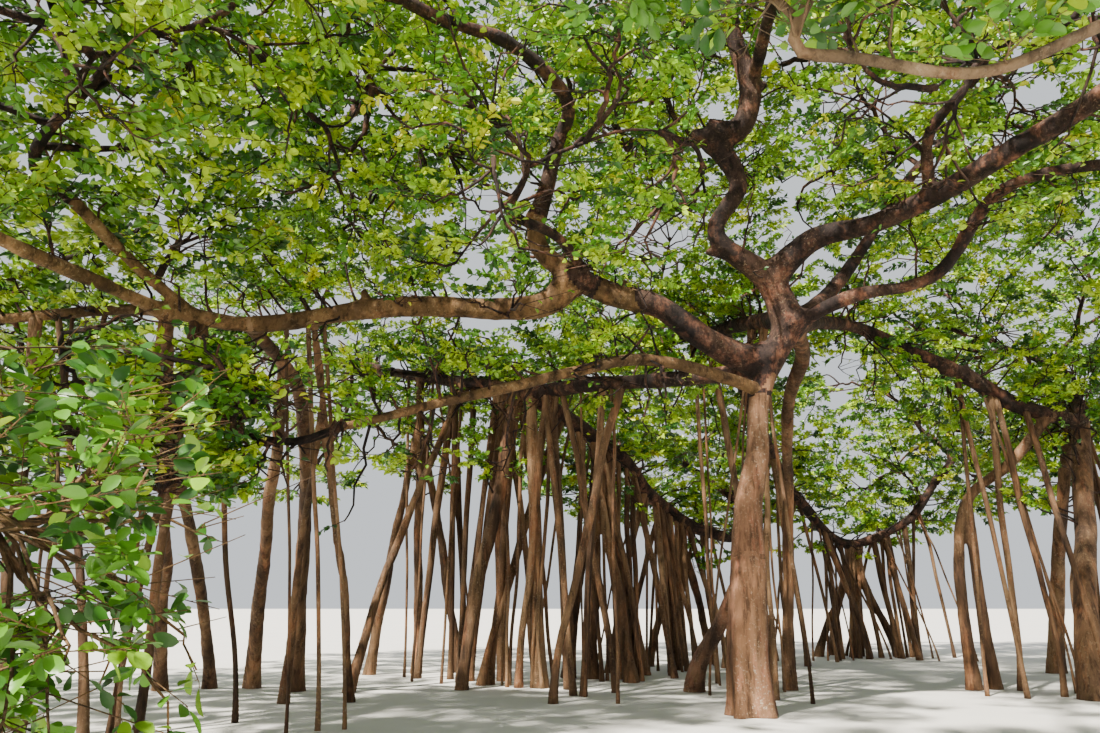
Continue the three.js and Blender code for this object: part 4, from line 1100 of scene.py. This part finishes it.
def grow_mass(index, twig_material, leaf_materials):
    """The twigs and the leaves of one mass, as two pieces that replace its solid."""
    name = NAMES[index]
    small, _, per_shoot, leaf_length = MASSES[name][4:]
    near = name in NEAR_VIEWS
    rng = np.random.default_rng(MASS_SEED + index)
    parts, finer, free = wood_of(index, rng)
    scale = NEAR_SHOOTS if near else SMALL_SHOOTS if small < 1 else 1
    leafy, loose, bearing = shoots(index, finer, free, rng, scale)
    for rings, (base, tip) in ((finer[bearing], BRANCHLET_RADII), (leafy, SHOOT_RADII)):
        width = np.linspace(base, tip, rings.shape[1]) * (NEAR_FINENESS if near else 1)
        parts.append(tubes(rings, width[:, None], FINE_SIDES))
    stalk = NEAR_STALK if near else 0
    placed = leaf_places(index, leafy, loose, rng, leaf_length, per_shoot, stalk)
    origin, direction, faces_up, size, spray = placed
    if near:
        stalks = np.stack([origin - direction * (stalk * size)[:, None], origin], 1)
        parts.append(tubes(stalks, STALK_RADIUS, FINE_SIDES))
    twig_piece = mesh_object(name.replace("leaves", "twigs"), *joined(parts), [twig_material])

    shape = near_leaf() if near else MIDDLE_LEAF if name in MIDDLE_MASSES else FAR_LEAF
    breadth = size * (NEAR_LEAF_WIDTH if near else LEAF_WIDTH)
    made, faces = leaves(shape, origin, direction, faces_up, size, breadth)
    shares = [colour[3 if near else 2] for colour in LEAF_COLOURS]
    colour = rng.choice(len(leaf_materials), leafy.shape[0], p=shares)[spray]
    slots = np.concatenate([np.repeat(colour, len(f) // len(origin)) for f in faces])
    leaf_piece = mesh_object(name + "_sprays", made, faces, leaf_materials, smooth=near, slots=slots)
    for piece, slot in ((twig_piece, "bark"), (leaf_piece, "foliage")):
        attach(piece, "root")
        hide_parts(name)


# Materials

class Nodes:
    """Short ways to make and join a material's nodes."""

    def __init__(self, name):
        self.material = bpy.data.materials.new(name)
        self.material.use_nodes = True
        self.tree = self.material.node_tree
        self.shader = self.tree.nodes["Principled BSDF"]

    def add(self, kind, **values):
        node = self.tree.nodes.new(kind)
        for key, value in values.items():
            if hasattr(node, key):
                setattr(node, key, value)
            else:
                node.inputs[key.replace("_", " ").title()].default_value = value
        return node

    def link(self, out, socket):
        self.tree.links.new(out, socket)

    def place(self, stretch, lean=0):
        """Object coordinates, drawn out along an axis that leans to the front."""
        mapping = self.add("ShaderNodeMapping", vector_type="TEXTURE")
        mapping.inputs["Rotation"].default_value = (lean, 0, 0)
        mapping.inputs["Scale"].default_value = (1, 1, 1 / stretch)
        self.link(self.add("ShaderNodeTexCoord").outputs["Object"], mapping.inputs["Vector"])
        return mapping.outputs["Vector"]

    def noise(self, vector, scale, detail=4, roughness=0.55):
        node = self.add("ShaderNodeTexNoise", scale=scale, detail=detail, roughness=roughness)
        self.link(vector, node.inputs["Vector"])
        return node.outputs["Fac"]

    def ramp(self, value, stops):
        node = self.add("ShaderNodeValToRGB")
        elements = node.color_ramp.elements
        while len(elements) < len(stops):
            elements.new(0.5)
        for element, (position, colour) in zip(elements, stops):
            element.position = position
            element.color = (*colour, 1) if isinstance(colour, tuple) else (colour, colour, colour, 1)
        self.link(value, node.inputs["Fac"])
        return node.outputs["Color"]

    def mix(self, factor, one, two, blend="MIX"):
        node = self.add("ShaderNodeMix", data_type="RGBA", blend_type=blend)
        if isinstance(factor, float):
            node.inputs[0].default_value = factor
        else:
            self.link(factor, node.inputs[0])
        self.link(one, node.inputs[6])
        self.link(two, node.inputs[7])
        return node.outputs[2]

    def bump(self, height, strength, distance, before=None):
        node = self.add("ShaderNodeBump")
        node.inputs["Strength"].default_value = strength
        node.inputs["Distance"].default_value = distance
        self.link(height, node.inputs["Height"])
        if before is not None:
            self.link(before, node.inputs["Normal"])
        return node.outputs["Normal"]


def bark_material(name, ground, patches, stains, flecks, stretch, lean=0):
    """Fissured bark: a ground of browns, warm worn patches, dark stains and pale flecks, under painted
    shade that darkens long stretches at random.
    """
    n = Nodes(name)
    along = n.place(stretch, lean)
    plain = n.place(1)
    broad = n.noise(along, 1.7, 4, 0.6)
    streaks = n.noise(along, 9, 7, 0.7)
    worn = n.noise(n.place(min(1, 1.6 * stretch), lean), 3.6, 8, 0.72)
    damp = n.noise(plain, 0.8, 4, 0.6)
    specks = n.noise(plain, 24, 4, 0.7)
    colour = n.ramp(broad, [(0.32, ground[0]), (0.5, ground[1]), (0.66, ground[2])])
    dark = n.ramp(streaks, [(0.38, 0.25), (0.5, 0.85), (0.62, 1.0)])
    colour = n.mix(0.9, colour, dark, "MULTIPLY")
    patch = n.ramp(streaks, [(0.38, patches[0]), (0.6, patches[1])])
    colour = n.mix(n.ramp(worn, [(0.5, 0.0), (0.67, 0.8)]), colour, patch)
    damp_colour = n.ramp(streaks, [(0.35, stains), (0.8, ground[0])])
    colour = n.mix(n.ramp(damp, [(0.48, 0.0), (0.72, 0.75)]), colour, damp_colour)
    fleck_colour = n.ramp(worn, [(0.4, ground[2]), (0.55, flecks)])
    dotted = n.ramp(specks, [(0.56, 0.0), (0.64, 0.8)])
    some = n.mix(1.0, dotted, n.ramp(broad, [(0.4, 0.0), (0.62, 1.0)]), "MULTIPLY")
    colour = n.mix(some, colour, fleck_colour)
    # painted shade: long stretches along the grain darkened at random, down to half, for limbs and roots in
    # shade
    painted_shade_tone = n.ramp(n.noise(n.place(0.04, lean), 1.6, 1), [(0.38, 0.5), (0.5, 0.85), (0.62, 1.0)])
    colour = n.mix(1.0, colour, painted_shade_tone, "MULTIPLY")
    n.link(colour, n.shader.inputs["Base Color"])
    n.link(n.ramp(streaks, [(0.3, 0.95), (0.7, 0.74)]), n.shader.inputs["Roughness"])
    n.shader.inputs["Specular IOR Level"].default_value = 0.3
    coarse = n.bump(streaks, 0.9, 0.05)
    fine = n.bump(n.noise(along, 42, 5, 0.6), 0.6, 0.012, coarse)
    n.link(fine, n.shader.inputs["Normal"])
    return n.material


def leaf_material(name, colour):
    """A glossy leaf of one green, a little lighter and darker from place to place."""
    n = Nodes(name)
    cloud = n.noise(n.place(1), 5, 3, 0.5)
    stops = [(at, tuple(c * shade for c in colour)) for at, shade in zip((0.35, 0.5, 0.65), LEAF_SHADES)]
    n.link(n.ramp(cloud, stops), n.shader.inputs["Base Color"])
    n.link(n.ramp(cloud, [(0.3, 0.28), (0.7, 0.42)]), n.shader.inputs["Roughness"])
    n.shader.inputs["Specular IOR Level"].default_value = 0.4
    n.link(n.bump(n.noise(n.place(1), 60, 2), 0.25, 0.004), n.shader.inputs["Normal"])
    return n.material


def floor_material():
    n = Nodes("pale_floor")
    tone = n.noise(n.place(1), 0.6, 3)
    pale = n.ramp(tone, [(0.35, (0.62, 0.6, 0.57)), (0.65, (0.66, 0.64, 0.61))])
    n.link(pale, n.shader.inputs["Base Color"])
    n.shader.inputs["Roughness"].default_value = 0.9
    return n.material


# Stage

def make_floor():
    corners = [(-1, -1, 0), (1, -1, 0), (1, 1, 0), (-1, 1, 0)]
    points = np.array(corners, float) * FLOOR_SIZE
    floor = mesh_object("floor", points, [np.array([(0, 1, 2, 3)])], [floor_material()], smooth=False)


def make_light():
    world = bpy.data.worlds.new("soft_sky")
    world.use_nodes = True
    world.node_tree.nodes["Background"].inputs["Color"].default_value = SKY_COLOUR
    world.node_tree.nodes["Background"].inputs["Strength"].default_value = SKY
    bpy.context.scene.world = world
    for name, (strength, breadth, colour, turn) in SUNS.items():
        sun = bpy.data.lights.new(name, "SUN")
        sun.energy, sun.angle, sun.color = strength, math.radians(breadth), colour
        linked(name, sun).rotation_euler = [math.radians(angle) for angle in turn]


def make_camera():
    data = bpy.data.cameras.new("camera")
    data.sensor_width, data.lens = SENSOR, FOCAL_PIXELS / IMAGE_WIDTH * SENSOR
    data.clip_start, data.clip_end = 0.1, 400
    camera = linked("camera", data)
    camera.location = EYE
    camera.rotation_euler = (math.pi / 2 + PITCH, 0, 0)
    bpy.context.scene.camera = camera


def make_limbs(barks):
    """The skin of all limbs, parted by bark, and the slender limbs each on its own."""
    skin = fused_limbs()
    cut_at_ground(skin)
    centres = read(skin.polygons, "center", 3)
    kinds = {name: kind for name, _, _, kind in limbs}
    nearest = nearest_limbs(centres)
    is_root = np.array([kinds[name] == "pillar" and name != "trunk_leg" for name in nearest])
    edge = TRUNK_TOP + 0.3 * noise(centres * 3.1, 8)
    is_trunk = (nearest == "trunk") & (centres[:, 2] < edge)
    is_leg = nearest == "trunk_leg"
    on_left = {name: line.at(0)[0][0] < ROOTS_PARTED for name, line, _, _ in limbs}
    is_left = np.array([on_left[name] for name in nearest])
    thick_boughs = [name for name in BOUGHS if name not in SLENDER]
    thick_roots = [name for name in PILLARS if name not in SLENDER and name != "trunk_leg"]
    is_bough = ~is_root & ~is_trunk & ~is_leg
    # painted sunlight: the left boughs' bark is painted lighter up to a ragged edge
    painted_sunlit_edge = PAINTED_SUNLIT_TO + 0.5 * noise(centres * 2.3, 9)
    is_painted_sunlit = np.isin(nearest, PAINTED_SUNLIT_BOUGHS) & (centres[:, 0] < painted_sunlit_edge)
    rows = [  # piece, its faces, bark, nodes that it replaces, slot
        ("trunk_skin", is_trunk, "trunk_bark", ["trunk"], "bark"),
        ("leg_skin", is_leg, "leg_bark", ["trunk_leg"], "bark"),
        ("bough_skin", is_bough & ~is_painted_sunlit, "bark", thick_boughs + ["trunk"], "bark"),
        ("painted_sunlit_skin", is_bough & is_painted_sunlit, "painted_sunlit_bark", PAINTED_SUNLIT_BOUGHS, "bark"),
        ("root_skin_left", is_root & is_left, "root_bark", thick_roots, "root_bark"),
        ("root_skin_right", is_root & ~is_left, "root_bark", thick_roots, "root_bark"),
    ]
    skins = [(part_of(skin, name, keep, barks[own]), nodes, slot) for name, keep, own, nodes, slot in rows]
    skins.append((slender_roots(barks["root_bark"]), thick_roots, "root_bark"))
    for i, (name, line, radii, kind) in enumerate(limbs):
        if name not in SLENDER:
            continue
        # the slender boughs take the bark painted lighter as painted sunlight
        own = "pale_bark" if name == PALE else "painted_sunlit_bark" if kind == "bough" else "root_bark"
        piece = mesh_object(name + "_skin", *limb_tube(i, line, radii, kind), [barks[own]])
        cut_at_ground(piece.data)
        skins.append((piece, [name], "bark" if kind == "bough" else "root_bark"))
    for piece, nodes, slot in skins:
        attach(piece, "root")
        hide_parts(*nodes)


make_camera()
make_light()
make_floor()
barks = {name: bark_material(name, *looks) for name, looks in BARKS.items()}
leaf_materials = [leaf_material(name, colour) for name, colour, _, _ in LEAF_COLOURS]
make_limbs(barks)
for index, name in enumerate(NAMES):
    grow_mass(index, barks[TWIG_BARKS.get(name, "bark")], leaf_materials)
